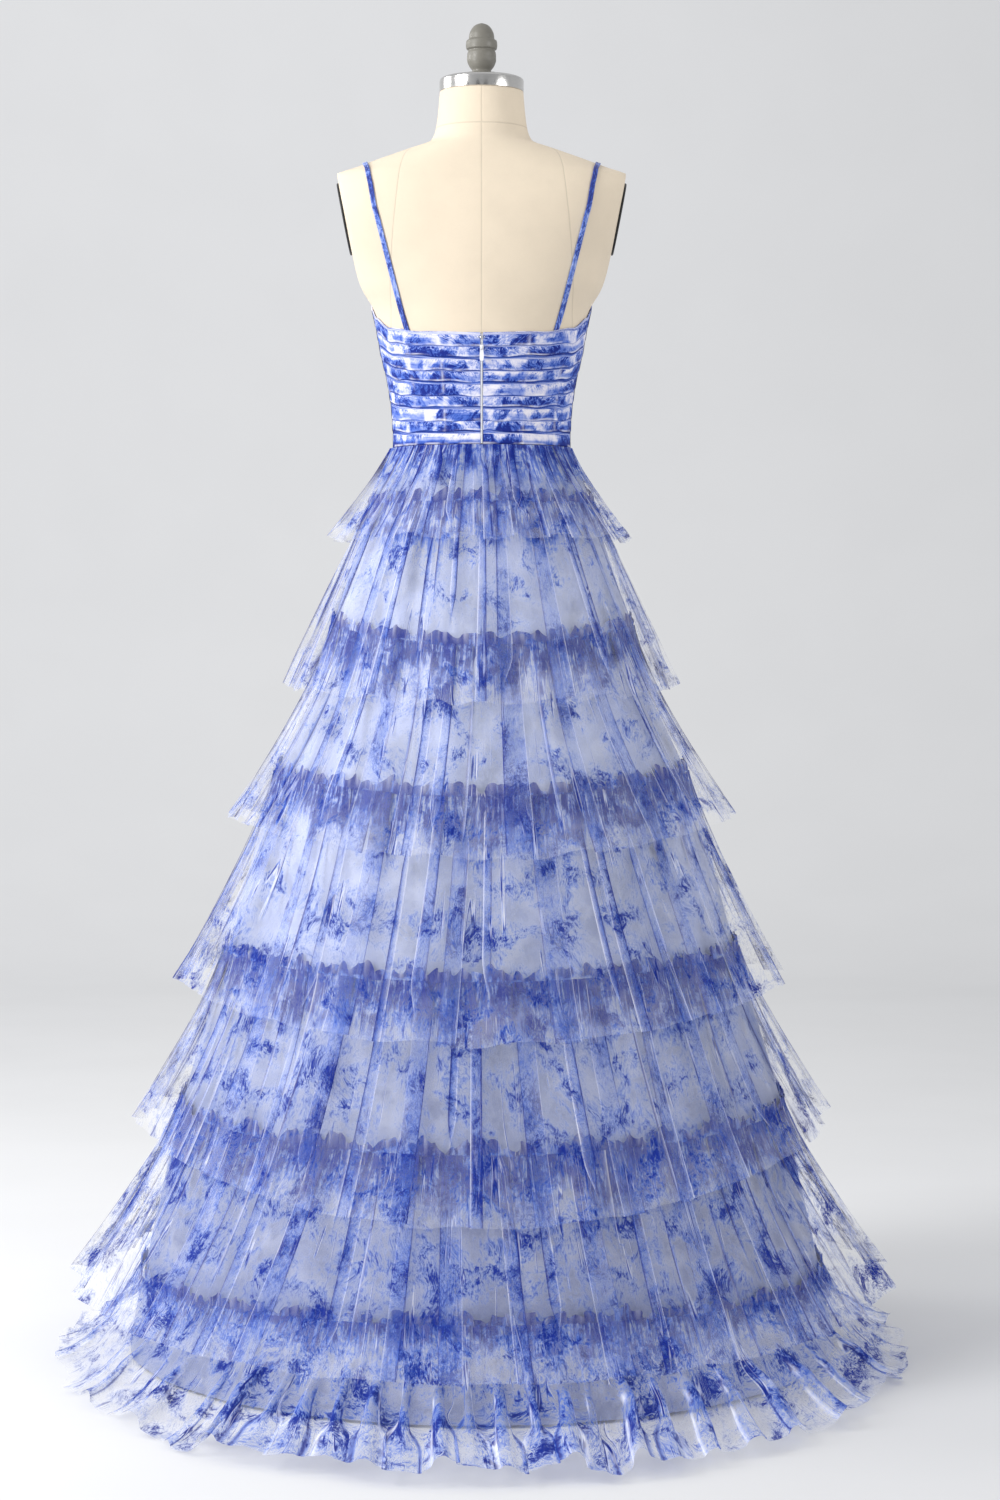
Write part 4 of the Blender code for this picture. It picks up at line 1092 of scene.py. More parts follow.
def tier_points(tier, seed, angles, t, turn, out, wrinkle, rng):
    """Points of a hanging tier, in the middle of the wall that stands for it."""
    push = wave_push(angles, tier.waves, seed)[None, :]
    column = t[:, None]
    a = angles[None, :] + turn + FOLD_SWAY * column * np.sin(FOLD_SWAYS * angles + seed)[None, :]
    seam_z, start, level = seam_line(tier, a)
    hem_z = around_height(a, tier.hem_side, tier.hem_back) + HEM_DIP * push
    hem = np.array((tier.half_width, tier.back, tier.front)) + np.zeros(a.shape + (3,))
    end = ring_point(hem, a, hem_z)
    points = lerp(start, end, (column ** tier.belly)[..., None])
    points[..., 2] = lerp(seam_z, hem_z, column)
    lift = push * lerp(GATHER_AT_SEAM, 1.0, column)
    lift += GATHER_AT_SEAM * DEEPEST * (1 - column)
    around = 2 * np.pi * np.mean(np.linalg.norm(start[0, :, :2], axis=-1))
    fine = crinkles(angles, around, (0.0095, 0.0125, 0.016), rng)[None, :]
    broad = ripples(angles, (37, 53, 71), rng)[None, :]
    crinkle = 0.0013 * (1 + fine) * smoothstep(0.42, 0.0, column)
    wide = wrinkle * broad * smoothstep(0.0, 0.5, column)
    return points + level * (tier.depth * lift + crinkle + wide + out)[..., None], level


def cloth_lengths(points, row, offset):
    """Length of cloth across at each column, and down at each row."""
    across = travelled(step_lengths(points[row], append=points[row, :1]))
    down = travelled(step_lengths(points).mean(1))
    return across[None, :] + offset, down[:, None] + offset


def gather_density(points):
    """How many times the cloth is gathered, at each row."""
    ring = points[..., :2]
    size = np.linalg.norm(ring, axis=-1).mean(1)
    return np.clip(1.08 * size[-1] / size, 1.0, 2.6)[:, None]


def crowding(down, uneven, reach=0.075):
    """How far the print crowds together below the seam, deeper in some places."""
    below = down - down[0, 0]
    deep = reach * np.clip(1 + 0.30 * uneven, 0.5, 1.6)[None, :]
    return 0.95 * smoothstep(deep, 0.35 * deep, below) + 0.55 * np.exp(-below / 0.014)


def heading(tier, seed, height, material):
    """The gathered raw edge that stands crinkled above a tier's seam."""
    rng = np.random.default_rng(100 + seed)
    around = 2 * math.pi * float(np.mean(section_at(LINING, np.array(tier.seam_side))))
    angles = full_turn(int(around / 0.0021))
    t = np.linspace(0, 1, 6)[:, None]
    crimp = crinkles(angles, around, (0.0075, 0.0105, 0.014, 0.022), rng)
    lean = crinkles(angles, around, (0.012, 0.019), rng)
    tall = ripples(angles, (23, 41, 67, int(around / 0.016)), rng)
    a = angles[None, :] + 0.0016 * lean[None, :] * t / 0.25
    seam_z = around_height(a, tier.seam_side, tier.seam_back)
    z = seam_z - 0.002 + height * t * np.clip(1 + 0.45 * tall, 0.25, 1.8)[None, :]
    section = section_at(LINING, z)
    out = GAP + TIER_WALL + 0.0005 + 0.0021 * np.abs(crimp)[None, :] * (0.35 + t) + 0.0010 * t
    points = (ring_point(section, a, z) + ring_normal(section, a) * out[..., None])[::-1]
    cloth = cloth_lengths(points, 3, 7.7 * seed)
    strong = np.clip(0.70 + 0.50 * ripples(angles, (7, 13, 27, 44), rng), 0.1, 1.0)[None, :]
    low = 1 - t[::-1]
    broken = smoothstep(-0.5, 0.7, ripples(angles, (19, 33, 57, 88), rng))[None, :]
    edge = np.clip(strong * (0.20 + 0.5 * np.abs(crimp)[None, :]) + 2.0 * broken
                   * np.exp(-(((1 - low) - 0.66) / 0.28) ** 2), 0, 1.7)
    # dark: denser gathered ink where the edge crinkles, with painted shade; light: a painted
    # highlight on the crinkles near the top
    values = {"gather": 1.2 + 1.5 * strong * (0.3 + 0.7 * low) + edge, "seam": 0.7 * strong + 0 * t,
              "fold": 0 * edge, "dye": 1.1 + 0 * t, "dark": 1.25 * edge,
              "light": 0.35 * np.clip(-crimp, 0, 1) * (1 - low)}
    obj = add_grid(tier.name + "_heading", points, closed=True, cloth=cloth, values=values)
    return finish_piece(obj, material)


def hang(name, tier, seed, points, cloth, values, material):
    """Make a tier's sheet, and its heading where it has one."""
    obj = add_grid(name, points, closed=True, cloth=cloth, values=values)
    finish_piece(obj, material, stands_for=[tier.name])
    height = bpy.context.scene.dress_tulle.heading
    edging = [heading(tier, seed, height, material)] if seed > 1 else []


class DRESS_OT_tiers(bpy.types.Operator):
    """Build the six hanging tulle tiers, all but the first with a gathered heading"""
    bl_idname = "dress.tiers"
    bl_label = "Hanging tiers"

    def execute(self, context):
        look = context.scene.dress_tulle
        material = tulle_material("printed tulle", look.coverage, 1.0)
        for seed, tier in enumerate(TIERS, start=1):
            rng = np.random.default_rng(seed)
            folds, reach = all_folds(tier, rng)
            angles = fold_columns(folds, reach)
            t = DOWN_TIER
            turn, out, values = fold_fields(angles, t, folds, reach, look.layer_gap)
            points, level = tier_points(tier, seed, angles, t, turn, out, look.wrinkle, rng)
            curl = ripples(angles, (29, 47, 83), rng)[None, :, None]
            points += level * HEM_CURL * curl * smoothstep(0.8, 1.0, t)[:, None, None]
            cloth = cloth_lengths(points, 24, 3.1 * seed)
            above_hem = cloth[1][-1] - cloth[1]
            over_heading = smoothstep(0.105, 0.080, above_hem) * smoothstep(0.035, 0.060, above_hem)
            values["gather"] = gather_density(points) * (1 - OVER_HEADING * over_heading)
            values["dye"] = 0 * t[:, None] + TIER_INK_SCALE[seed - 1]
            values["seam"] = crowding(cloth[1], ripples(angles, (5, 9, 16, 31), rng))
            hang(tier.name + "_cloth", tier, seed, points, cloth, values, material)
        return {"FINISHED"}


TUBES = [                   # the train's rounded folds: degrees, width, height
    (24, 0.014, 0.004), (31, 0.018, 0.007), (38, 0.012, 0.004), (44, 0.022, 0.010),
    (51, 0.016, 0.008), (57, 0.028, 0.020), (62, 0.020, 0.014), (66, 0.026, 0.021),
    (70.5, 0.018, 0.013), (75, 0.027, 0.023), (79, 0.018, 0.015), (83.5, 0.026, 0.022),
    (87.5, 0.018, 0.014), (92, 0.028, 0.025), (96.5, 0.020, 0.015), (101, 0.026, 0.022),
    (105, 0.018, 0.014), (110, 0.028, 0.023), (115, 0.020, 0.015), (120, 0.027, 0.020),
    (126, 0.020, 0.014), (132, 0.027, 0.018), (139, 0.020, 0.012), (146, 0.026, 0.015),
    (155, 0.022, 0.012), (190, 0.024, 0.010), (214, 0.026, 0.012), (236, 0.022, 0.010),
    (256, 0.028, 0.013), (277, 0.022, 0.010), (298, 0.026, 0.012), (320, 0.022, 0.010),
    (342, 0.026, 0.011), (8, 0.022, 0.010),
]
TUBE_SAMPLES = (0.0, 0.4, 0.8, 1.15, 1.4, 1.65, 1.9, 2.15, 2.4, 2.7, 3.0)
TUBE_SPREAD = 1.8           # a rounded fold's width, in its own spread
FLAT_TUBE = 0.014           # folds lower than this lie ever flatter
TRAIN_REACH = 0.60          # metres from the pole to the middle of the train
DOWN_TRAIN = np.concatenate([np.linspace(0, 0.2, 9), np.linspace(0.23, 1.0, 38)])


def train_columns():
    """Angles of the train's columns: even ones, and close ones across each fold."""
    angles = list(np.arange(0, 2 * np.pi, 0.0075 / TRAIN_REACH))
    for place, width, _ in TUBES:
        for x in TUBE_SAMPLES:
            aside = x * width / TUBE_SPREAD / TRAIN_REACH
            angles += [math.radians(place) - aside, math.radians(place) + aside]
    angles = np.unique(np.round(np.array(angles) % (2 * np.pi), 5))
    return angles[np.concatenate([[True], np.diff(angles) > 0.0012])]


def tube_fields(angles, column):
    """What the train's folds do to each point: turn it, raise it, and mark its edges with painted
    shade on one side and a painted highlight on the other.
    """
    turn, rise, fold, dark, light = (np.zeros((len(column), len(angles))) for _ in range(5))
    held = smoothstep(0.08, 0.46, column)
    for k, (place, width, height) in enumerate(TUBES):
        spread = width / TUBE_SPREAD / TRAIN_REACH * lerp(0.35, 1.0, smoothstep(0.10, 0.80, column))
        x = ((angles - math.radians(place) + np.pi) % (2 * np.pi) - np.pi)[None, :] / spread
        away = smoothstep(1.75, 2.9, np.abs(x))
        flat = max(0.0, 1 - height / FLAT_TUBE)
        bent = lerp(0.9 * np.sin(np.clip(x, -2.6, 2.6)), x, np.maximum(away, flat))
        turn += (bent - x) * spread * held * (np.abs(x) < 3.0)
        high = height * lerp(0.6, 1.25, smoothstep(0.10, 0.55, column))
        high = high * lerp(1.0, 0.75, smoothstep(0.7, 1.0, column))
        rise += high * (1 - away) * (1 + np.cos(np.clip(x, -3.14, 3.14))) / 2 * held
        side = 1 if k % 3 else -1
        fold += held * np.exp(-(x / 1.5) ** 4)
        # painted shade on one side of each rounded fold, a painted highlight on the other
        dark += 0.65 * held * np.exp(-((x - side * 1.45) / 0.16) ** 2)
        light += 0.7 * held * np.exp(-((x + side * 1.25) / 0.14) ** 2)
    return turn, rise, np.clip(fold, 0, 1), np.clip(dark, 0, 1), np.clip(light, 0, 1)


def spread_out(a, column, ragged):
    """The train without its folds: from its seam down and out over the floor."""
    seam_z, start, _ = seam_line(TRAIN, a)
    hem = np.array((TRAIN.half_width, TRAIN.back, TRAIN.front)) * ragged[..., None]
    laid = lerp(start, ring_point(hem, a, 0 * a), column[..., None])
    laid[..., 2] = seam_z * (1 - column) ** TRAIN.belly
    return laid


def upward(points):
    """The upward directions square to a closed grid of points."""
    normal = np.cross(np.gradient(points, axis=0), np.roll(points, -1, 1) - np.roll(points, 1, 1))
    normal /= np.linalg.norm(normal, axis=-1, keepdims=True) + 1e-12
    return normal * np.sign(normal[..., 2:] + 1e-9)


class DRESS_OT_train(bpy.types.Operator):
    """Build the last tier, which spreads over the floor behind as a train"""
    bl_idname = "dress.train"
    bl_label = "Train"

    def execute(self, context):
        look = context.scene.dress_tulle
        material = tulle_material("train tulle", look.coverage * 1.25, 1.0)
        seed = len(TIERS) + 1
        rng = np.random.default_rng(seed)
        angles = train_columns()
        column = DOWN_TRAIN[:, None]
        turn, rise, fold, dark, light = tube_fields(angles, column)
        push = wave_push(angles, TRAIN.waves, seed)[None, :]
        ragged = 1 + 0.012 * ripples(angles, (13, 21, 34, 55), rng)[None, :] * column
        sway = angles[None, :] + FOLD_SWAY * column * np.sin(FOLD_SWAYS * angles + seed)
        points = spread_out(sway + turn, column, ragged)
        normal = upward(spread_out(sway, column, ragged))
        around = 2 * np.pi * 0.45
        fine = crinkles(angles, around, (0.011, 0.015, 0.021), rng)[None, :]
        creep = ripples(angles, (31, 59, 97), rng)[None, :] * ripples(column, (6, 11, 17), rng)
        lift = TRAIN.depth * lerp(GATHER_AT_SEAM, 1.0, np.clip(2 * column, 0, 1)) * (DEEPEST + push)
        lift += 0.0012 * (1 + fine) * smoothstep(0.35, 0.0, column) + TIER_WALL / 2
        lift += 0.0016 * np.abs(creep) * column + rise
        points += normal * lift[..., None]
        points[..., 2] = np.maximum(points[..., 2], 0.0012)
        cloth = cloth_lengths(points, 30, 3.1 * seed)
        # painted light: paler and sheerer towards the wearer's left, where the key light falls
        painted_light_left = lerp(1.0, 0.7, smoothstep(0.45, 0.95, np.cos(angles)))[None, :]
        values = {"dark": dark, "light": light, "fold": 0.6 * fold,
                  "gather": gather_density(points) * (1.2 + 2.2 * fold) * painted_light_left,
                  "dye": lerp(1.5, 1.1, smoothstep(0.45, 0.85, column)) * painted_light_left,
                  "seam": 0.6 * crowding(cloth[1], ripples(angles, (5, 9, 16, 31), rng), 0.05)}
        hang("train_cloth", TRAIN, seed, points, cloth, values, material)
        return {"FINISHED"}


# ------------------------------------------------------------ bodice
PLEAT_PROFILE = [           # share of the pleat's height, share of its step
    (0.0, 0.20), (0.0, 0.38), (0.035, 0.54), (0.09, 0.60), (0.20, 0.58), (0.40, 0.50),
    (0.62, 0.38), (0.82, 0.27),
]
PLEAT_SHIFTS = (0.0, 0.0016, -0.0012, 0.0010, -0.0018, 0.0014, -0.0006, 0.0017, -0.0014)
BONES = (0.0875, 0.0490, -0.0550, -0.0975)      # metres to the left of the centre back
BONE_WIDTH = 0.0016
ZIP_FLAT = 2 * np.pi / 32   # angle over which the pleats flatten towards the zip
RIM = [                     # share of the wall's thickness, drop below the top edge
    (1.0, 0.0), (0.8, -0.0003), (0.2, -0.0003), (0.05, 0.0), (0.05, 0.006),
]
SHIFT_ACROSS, SHIFT_DOWN = 0.11, 0.035          # how far the print jumps at each pleat


def zip_side(angle):
    """1 at the centre back, 0 at the side seams."""
    return smoothstep(0.5, 0.1, np.abs(angle - np.pi / 2))


def bodice_material():
    """Printed tulle pleated over an opaque backing, with a painted highlight along the folded edges
    and painted shade under them.
    """
    material, tree, shader = new_material("pleated tulle")
    look = bpy.context.scene.dress_tulle
    cloth = put(tree, "UVMap", uv_map="cloth")
    marks = printed(tree, stretched(tree, cloth, (0.85, 1.15, 1.0)), 0.74)
    squares = noise(tree, stretched(tree, cloth, (1.0, 0.55, 1.0)), 46.0, 1.0, 0.4)
    creases = noise(tree, stretched(tree, cloth, (0.05, 1.0, 1.0)), 420.0, 3.0, 0.6, 0.4)
    breaks = noise(tree, cloth, 40.0, 2.0, 0.5)
    ink = times_plus(tree, marks["Ink"], 0.74, 0.10)
    ink = times_plus(tree, marks["Wash"], 0.18, ink)
    ink = times_plus(tree, attribute(tree, "under"), 0.20, ink)
    ink = times_plus(tree, ramp(tree, creases, 0.52, 0.70), 0.14, ink)
    ink = times(tree, ink, ramp(tree, squares, 0.38, 0.50, 0.35, 1.0))
    # painted shade: the shade marks darken the ledge under each fold and the waist, and darken the
    # panel's side edges
    ink = times_plus(tree, attribute(tree, "shade"), 0.55, ink)
    color = mix(tree, 1.0, dyed(tree, look, ink), (0.93, 0.89, 0.92, 1.0), "MULTIPLY")
    # painted highlight along each pleat's folded edge, over the bones and on the top rim, broken by
    # noise
    edge = times(tree, attribute(tree, "edge"), ramp(tree, breaks, 0.40, 0.62, 0.0, 0.75))
    color = mix(tree, edge, color, (0.92, 0.90, 0.94, 1.0))
    net = woven(tree, cloth, 0.0014)
    height = times_plus(tree, creases, 4.0, net)
    feed(tree, shader, Base_Color=color, Roughness=0.70, Sheen_Weight=0.04,
         Specular_IOR_Level=0.15, Normal=bump(tree, height, 0.25, 0.0004))
    return material


class DRESS_OT_bodice(bpy.types.Operator):
    """Build the three pleated bodice panels"""
    bl_idname = "dress.bodice"
    bl_label = "Bodice"

    def execute(self, context):
        narrowest = section_at(BODY, np.array(WAIST_Z))[0]
        side = GAP / 2 / narrowest
        zip_half = ZIP_OPENING / 2 / narrowest
        material = bodice_material()
        panels = (("bodice_back_left", side, math.pi / 2 - zip_half, 0.0),
                  ("bodice_back_right", math.pi / 2 + zip_half, math.pi - side, 0.0),
                  ("bodice_front", math.pi + side, 2 * math.pi - side, 0.0006))
        for seed, (node, first, last, ease) in enumerate(panels):
            self.panel(context, node, first, last, ease, material, seed)
        return {"FINISHED"}

    def panel(self, context, node, first, last, ease, material, seed):
        look = context.scene.dress_bodice
        rng = np.random.default_rng(40 + seed)
        a = np.linspace(first, last, int((last - first) / math.radians(1.1)))
        low, top = WAIST_Z + GAP, top_edge(a)
        to_side = np.minimum(a - first, last - a)
        proud = PLEAT_STEP * lerp(PLEAT_AT_ZIP, 1.0, np.clip(np.abs(a - np.pi / 2) / ZIP_FLAT, 0, 1))
        fade = np.clip(to_side / 0.05, 0, 1)
        x = body_point(1.25 + 0 * a, a)[:, 0]
        bone = sum(np.exp(-((x - place) / BONE_WIDTH) ** 2) for place in BONES) * (np.sin(a) > 0)
        # darker towards the panel's side edges, away from the zip
        seams = np.exp(-(to_side / 0.028) ** 2) * (1 - zip_side(a))
        rows, shift = [], []
        marks = {"edge": [], "under": [], "shade": []}

        def add_row(points, pleat, **values):
            rows.append(points)
            shift.append(pleat)
            for key, value in values.items():
                marks[key].append(value + 0 * a)

        for k in range(PLEATS):
            stray = ripples(a, (4, 7, 13), rng) * look.waver * fade + PLEAT_SHIFTS[k]
            if k == 0:
                stray = 0 * stray
            for height, step in PLEAT_PROFILE:
                z = lerp(low, top, (k + height) / PLEATS) + stray * (1 - height)
                pull = ripples(a + 0.6 * height, (19, 31), rng) * 0.00022 * fade
                out = GAP + ease + BODICE_WALL + proud * step + pull + look.bone * bone
                ledge = height == 0
                # rim: a painted highlight along the pleat's folded edge and over the bones; waist
                # and dark: painted shade along the waist, on the ledge under each fold and near the
                # pleat's top
                rim = 0.0 if ledge else math.exp(-((height - 0.06) / 0.05) ** 2) + 0.5 * bone
                doubled = 1.0 if ledge and step < 0.3 else float(smoothstep(0.62, 0.38, height))
                waist = max(0.0, 1.0 - height / 0.35) if k == 0 else 0.0
                dark = 0.42 * ledge + 0.15 * float(smoothstep(0.80, 1.0, height))
                add_row(body_point(z, a, out), k, edge=rim, under=doubled,
                        shade=np.clip(seams + waist + dark, 0, 1))
        # the top rim gets a painted highlight
        for thick, drop in RIM:
            over = top - drop + 0.0004 * (drop < 0)
            add_row(body_point(over, a, GAP + ease + BODICE_WALL * thick + 0 * a), PLEATS,
                    edge=0.7, under=0.0, shade=0.6 * seams)
        points = np.array(rows)[::-1]
        arc = travelled(step_lengths(points[40]))
        fall = travelled(step_lengths(points).mean(1))
        shift = np.array(shift)[::-1, None]
        cloth = (arc[None, :] + SHIFT_ACROSS * shift + 5.3 * seed,
                 fall[:, None] - SHIFT_DOWN * shift + 2.0)
        values = {key: np.array(lines)[::-1] for key, lines in marks.items()}
        obj = add_grid(node.replace("bodice", "pleats"), points, closed=False, cloth=cloth,
                       values=values)
        finish_piece(obj, material, stands_for=[node])


# ------------------------------------------------------------ straps
STRAP_STOPS = [             # x, z and aim of the strap's line; aim 0 from behind, 90 from above
    (0.0945, None, 0), (0.1010, 1.330, 0), (0.1090, 1.360, 0), (0.1180, 1.395, 0),
    (0.1270, 1.430, 0), (0.1350, 1.460, 0), (0.1420, 1.480, 15), (0.1460, 1.480, 35),
    (0.1490, 1.480, 55), (0.1500, 1.480, 75), (0.1495, 1.480, 95), (0.1470, 1.480, 115),
    (0.1420, 1.480, 135), (0.1340, 1.480, 155), (0.1220, 1.470, 180), (0.1060, 1.447, 180),
    (0.0925, None, 180),
]
STRAP_SHARE = 0.72          # of its solid's width, as the strap is seen
STRAP_SECTION = [           # from under the strap round it: half-widths, share of thickness
    (0.04, 0.0), (0.50, 0.0), (0.94, 0.10), (1.0, 0.45), (0.96, 0.85), (0.80, 1.0),
    (0.45, 1.0), (0.06, 0.92), (0.0, 0.62), (-0.06, 0.90), (-0.30, 0.97), (-0.80, 1.0),
    (-0.96, 0.85), (-1.0, 0.45), (-0.94, 0.10), (-0.50, 0.0), (-0.04, 0.0),
]


class DRESS_OT_straps(bpy.types.Operator):
    """Build the two folded straps, laid over the form's shoulders"""
    bl_idname = "dress.straps"
    bl_label = "Straps"

    def execute(self, context):
        body = bpy.data.objects["form_body"].data
        tree = BVHTree.FromPolygons([v.co for v in body.vertices],
                                    [p.vertices for p in body.polygons])
        material = self.cloth(context.scene.dress_tulle)
        for side, name in ((1, "left"), (-1, "right")):
            self.strap(side, name, tree, material)
        return {"FINISHED"}

    def above_rim(self, x, aim):
        """Height just over the bodice's rim where the strap meets it."""
        rim_z = TOP_EDGE[0, 1] if aim == 0 else TOP_EDGE[:, 1].max()
        half = section_at(BODY, np.array(rim_z))[0]
        turn = math.acos(x / half)
        return float(top_edge(np.array(turn if aim == 0 else 2 * math.pi - turn))) + 2 * GAP

    def strap(self, side, name, tree, material):
        stops = np.array([(x, self.above_rim(x, aim) if z is None else z, aim)
                          for x, z, aim in STRAP_STOPS])
        steps = np.arange(len(stops), dtype=float)
        fine = np.linspace(0, len(stops) - 1, (len(stops) - 1) * 8 + 1)
        line = section_at(np.column_stack([steps, stops]), fine)
        rings = []
        for x, z, aim in line:
            way = Vector((0.0, math.cos(math.radians(aim)), math.sin(math.radians(aim))))
            spot = Vector((side * x, 0.0, z)) + way
            half = Vector((side * STRAP_WIDTH / 2, 0, 0))
            hits = [tree.ray_cast(spot + half * k, -way)[:2] for k in (-1, 0, 1)]
            (left, n1), (center, n2), (right, n3) = hits
            normal = (n1 + n2 + n3).normalized()
            swell = max(0.0, (center - (left + right) / 2).dot(normal))
            across = (right - left) / 2 * STRAP_SHARE
            middle = (left + right) / 2 + normal * (swell + 2 * GAP)
            rings.append([tuple(middle + across * u + normal * STRAP_WALL * v)
                          for u, v in STRAP_SECTION])
        rings = np.array(rings)
        run = travelled(step_lengths(rings[:, 8]))
        round_it = travelled(step_lengths(rings[20]))
        obj = add_grid("strap_cloth_" + name, rings, closed=False,
                       cloth=(round_it[None, :] + side, run[:, None]))
        finish_piece(crisp(obj, 60), material, stands_for=["strap_" + name])

    def cloth(self, look):
        material, tree, shader = new_material("strap tulle")
        cloth = put(tree, "UVMap", uv_map="cloth")
        marks = printed(tree, stretched(tree, cloth, (1.0, 0.8, 1.0)), 0.80)
        color = dyed(tree, look, times_plus(tree, marks["Ink"], 0.95, 0.26))
        net = woven(tree, cloth, 0.0011)
        feed(tree, shader, Base_Color=color, Roughness=0.6, Sheen_Weight=0.2,
             Specular_IOR_Level=0.3, Normal=bump(tree, net, 0.3, 0.0003))
        return material


# ------------------------------------------------------------ zip, hook and eye
ZIP_TOP_Z = 1.2860
SLIDER_Z = 1.2830
SLIDER_PLATE = 0.0012
AXIS_OFF_PLATE = 0.00085
TAB_LENGTH, TAB_WIDTH, TAB_WALL = 0.0170, 0.0062, 0.0009
EYE_HALF_WIDTH, EYE_DEPTH, TAB_RIM = 0.0013, 0.0029, 0.0010
TOOTH_PITCH = 0.00125
TOOTH = [                   # along the tooth in its half-length, share of its thickness
    (-1.0, 0.4), (-0.8, 0.9), (0.0, 1.0), (0.55, 0.9), (0.72, 0.4),
]
TOOTH_HALF, TOOTH_DEEP = 0.0013, 0.00075
TAPE_TOP_Z, TAPE_HALF = 1.3010, 0.00145
SLIDER_HALF = (0.0025, 0.0040)
SLIDER_LAYERS = ((0.0, 0.93), (0.0002, 1.0), (0.0009, 1.0), (SLIDER_PLATE, 0.90))
BRIDGE_REACH, BRIDGE_HALF, BRIDGE_WIRE = 0.00165, 0.0009, 0.00042
HOOK_Z = 1.2965
EYE_HALF, EYE_X, EYE_WIRE = (0.0022, 0.0015), -0.0016, 0.0003
HOOK_HALF_WIDTH, HOOK_WIRE = 0.0006, 0.00022
HOOK_BENDS = np.array([(0.0048, 0.0), (0.0024, 0.0), (0.0015, 0.00055), (0.0006, 0.00090),
                       (-0.0003, 0.00080), (-0.0007, 0.0001), (-0.0004, -0.0006),
                       (0.0003, -0.0009)])


def plastic_material(name, color, rough):
    """Moulded or enamelled surface with faint unevenness."""
    material, tree, shader = new_material(name)
    place = put(tree, "TexCoord", out=3)
    mask = use(tree, wear(), Vector=place, Scale=120.0)["Mask"]
    shade = mix(tree, mask, toned(color), toned(color, 0.9))
    feed(tree, shader, Base_Color=shade, Roughness=ramp(tree, mask, 0.0, 1.0, rough, rough * 1.4),
         Normal=bump(tree, mask, 0.1, 0.0001))
    return material


def back_y(z):
    return section_at(BODY, np.asarray(z, float))[..., 1]


def plate_y():
    """Inner face of the slider's plate, read from the frame."""
    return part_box("zip_slider")[0].y


def tab_axis():
    return Vector((0.0, plate_y() + SLIDER_PLATE + AXIS_OFF_PLATE, SLIDER_Z))


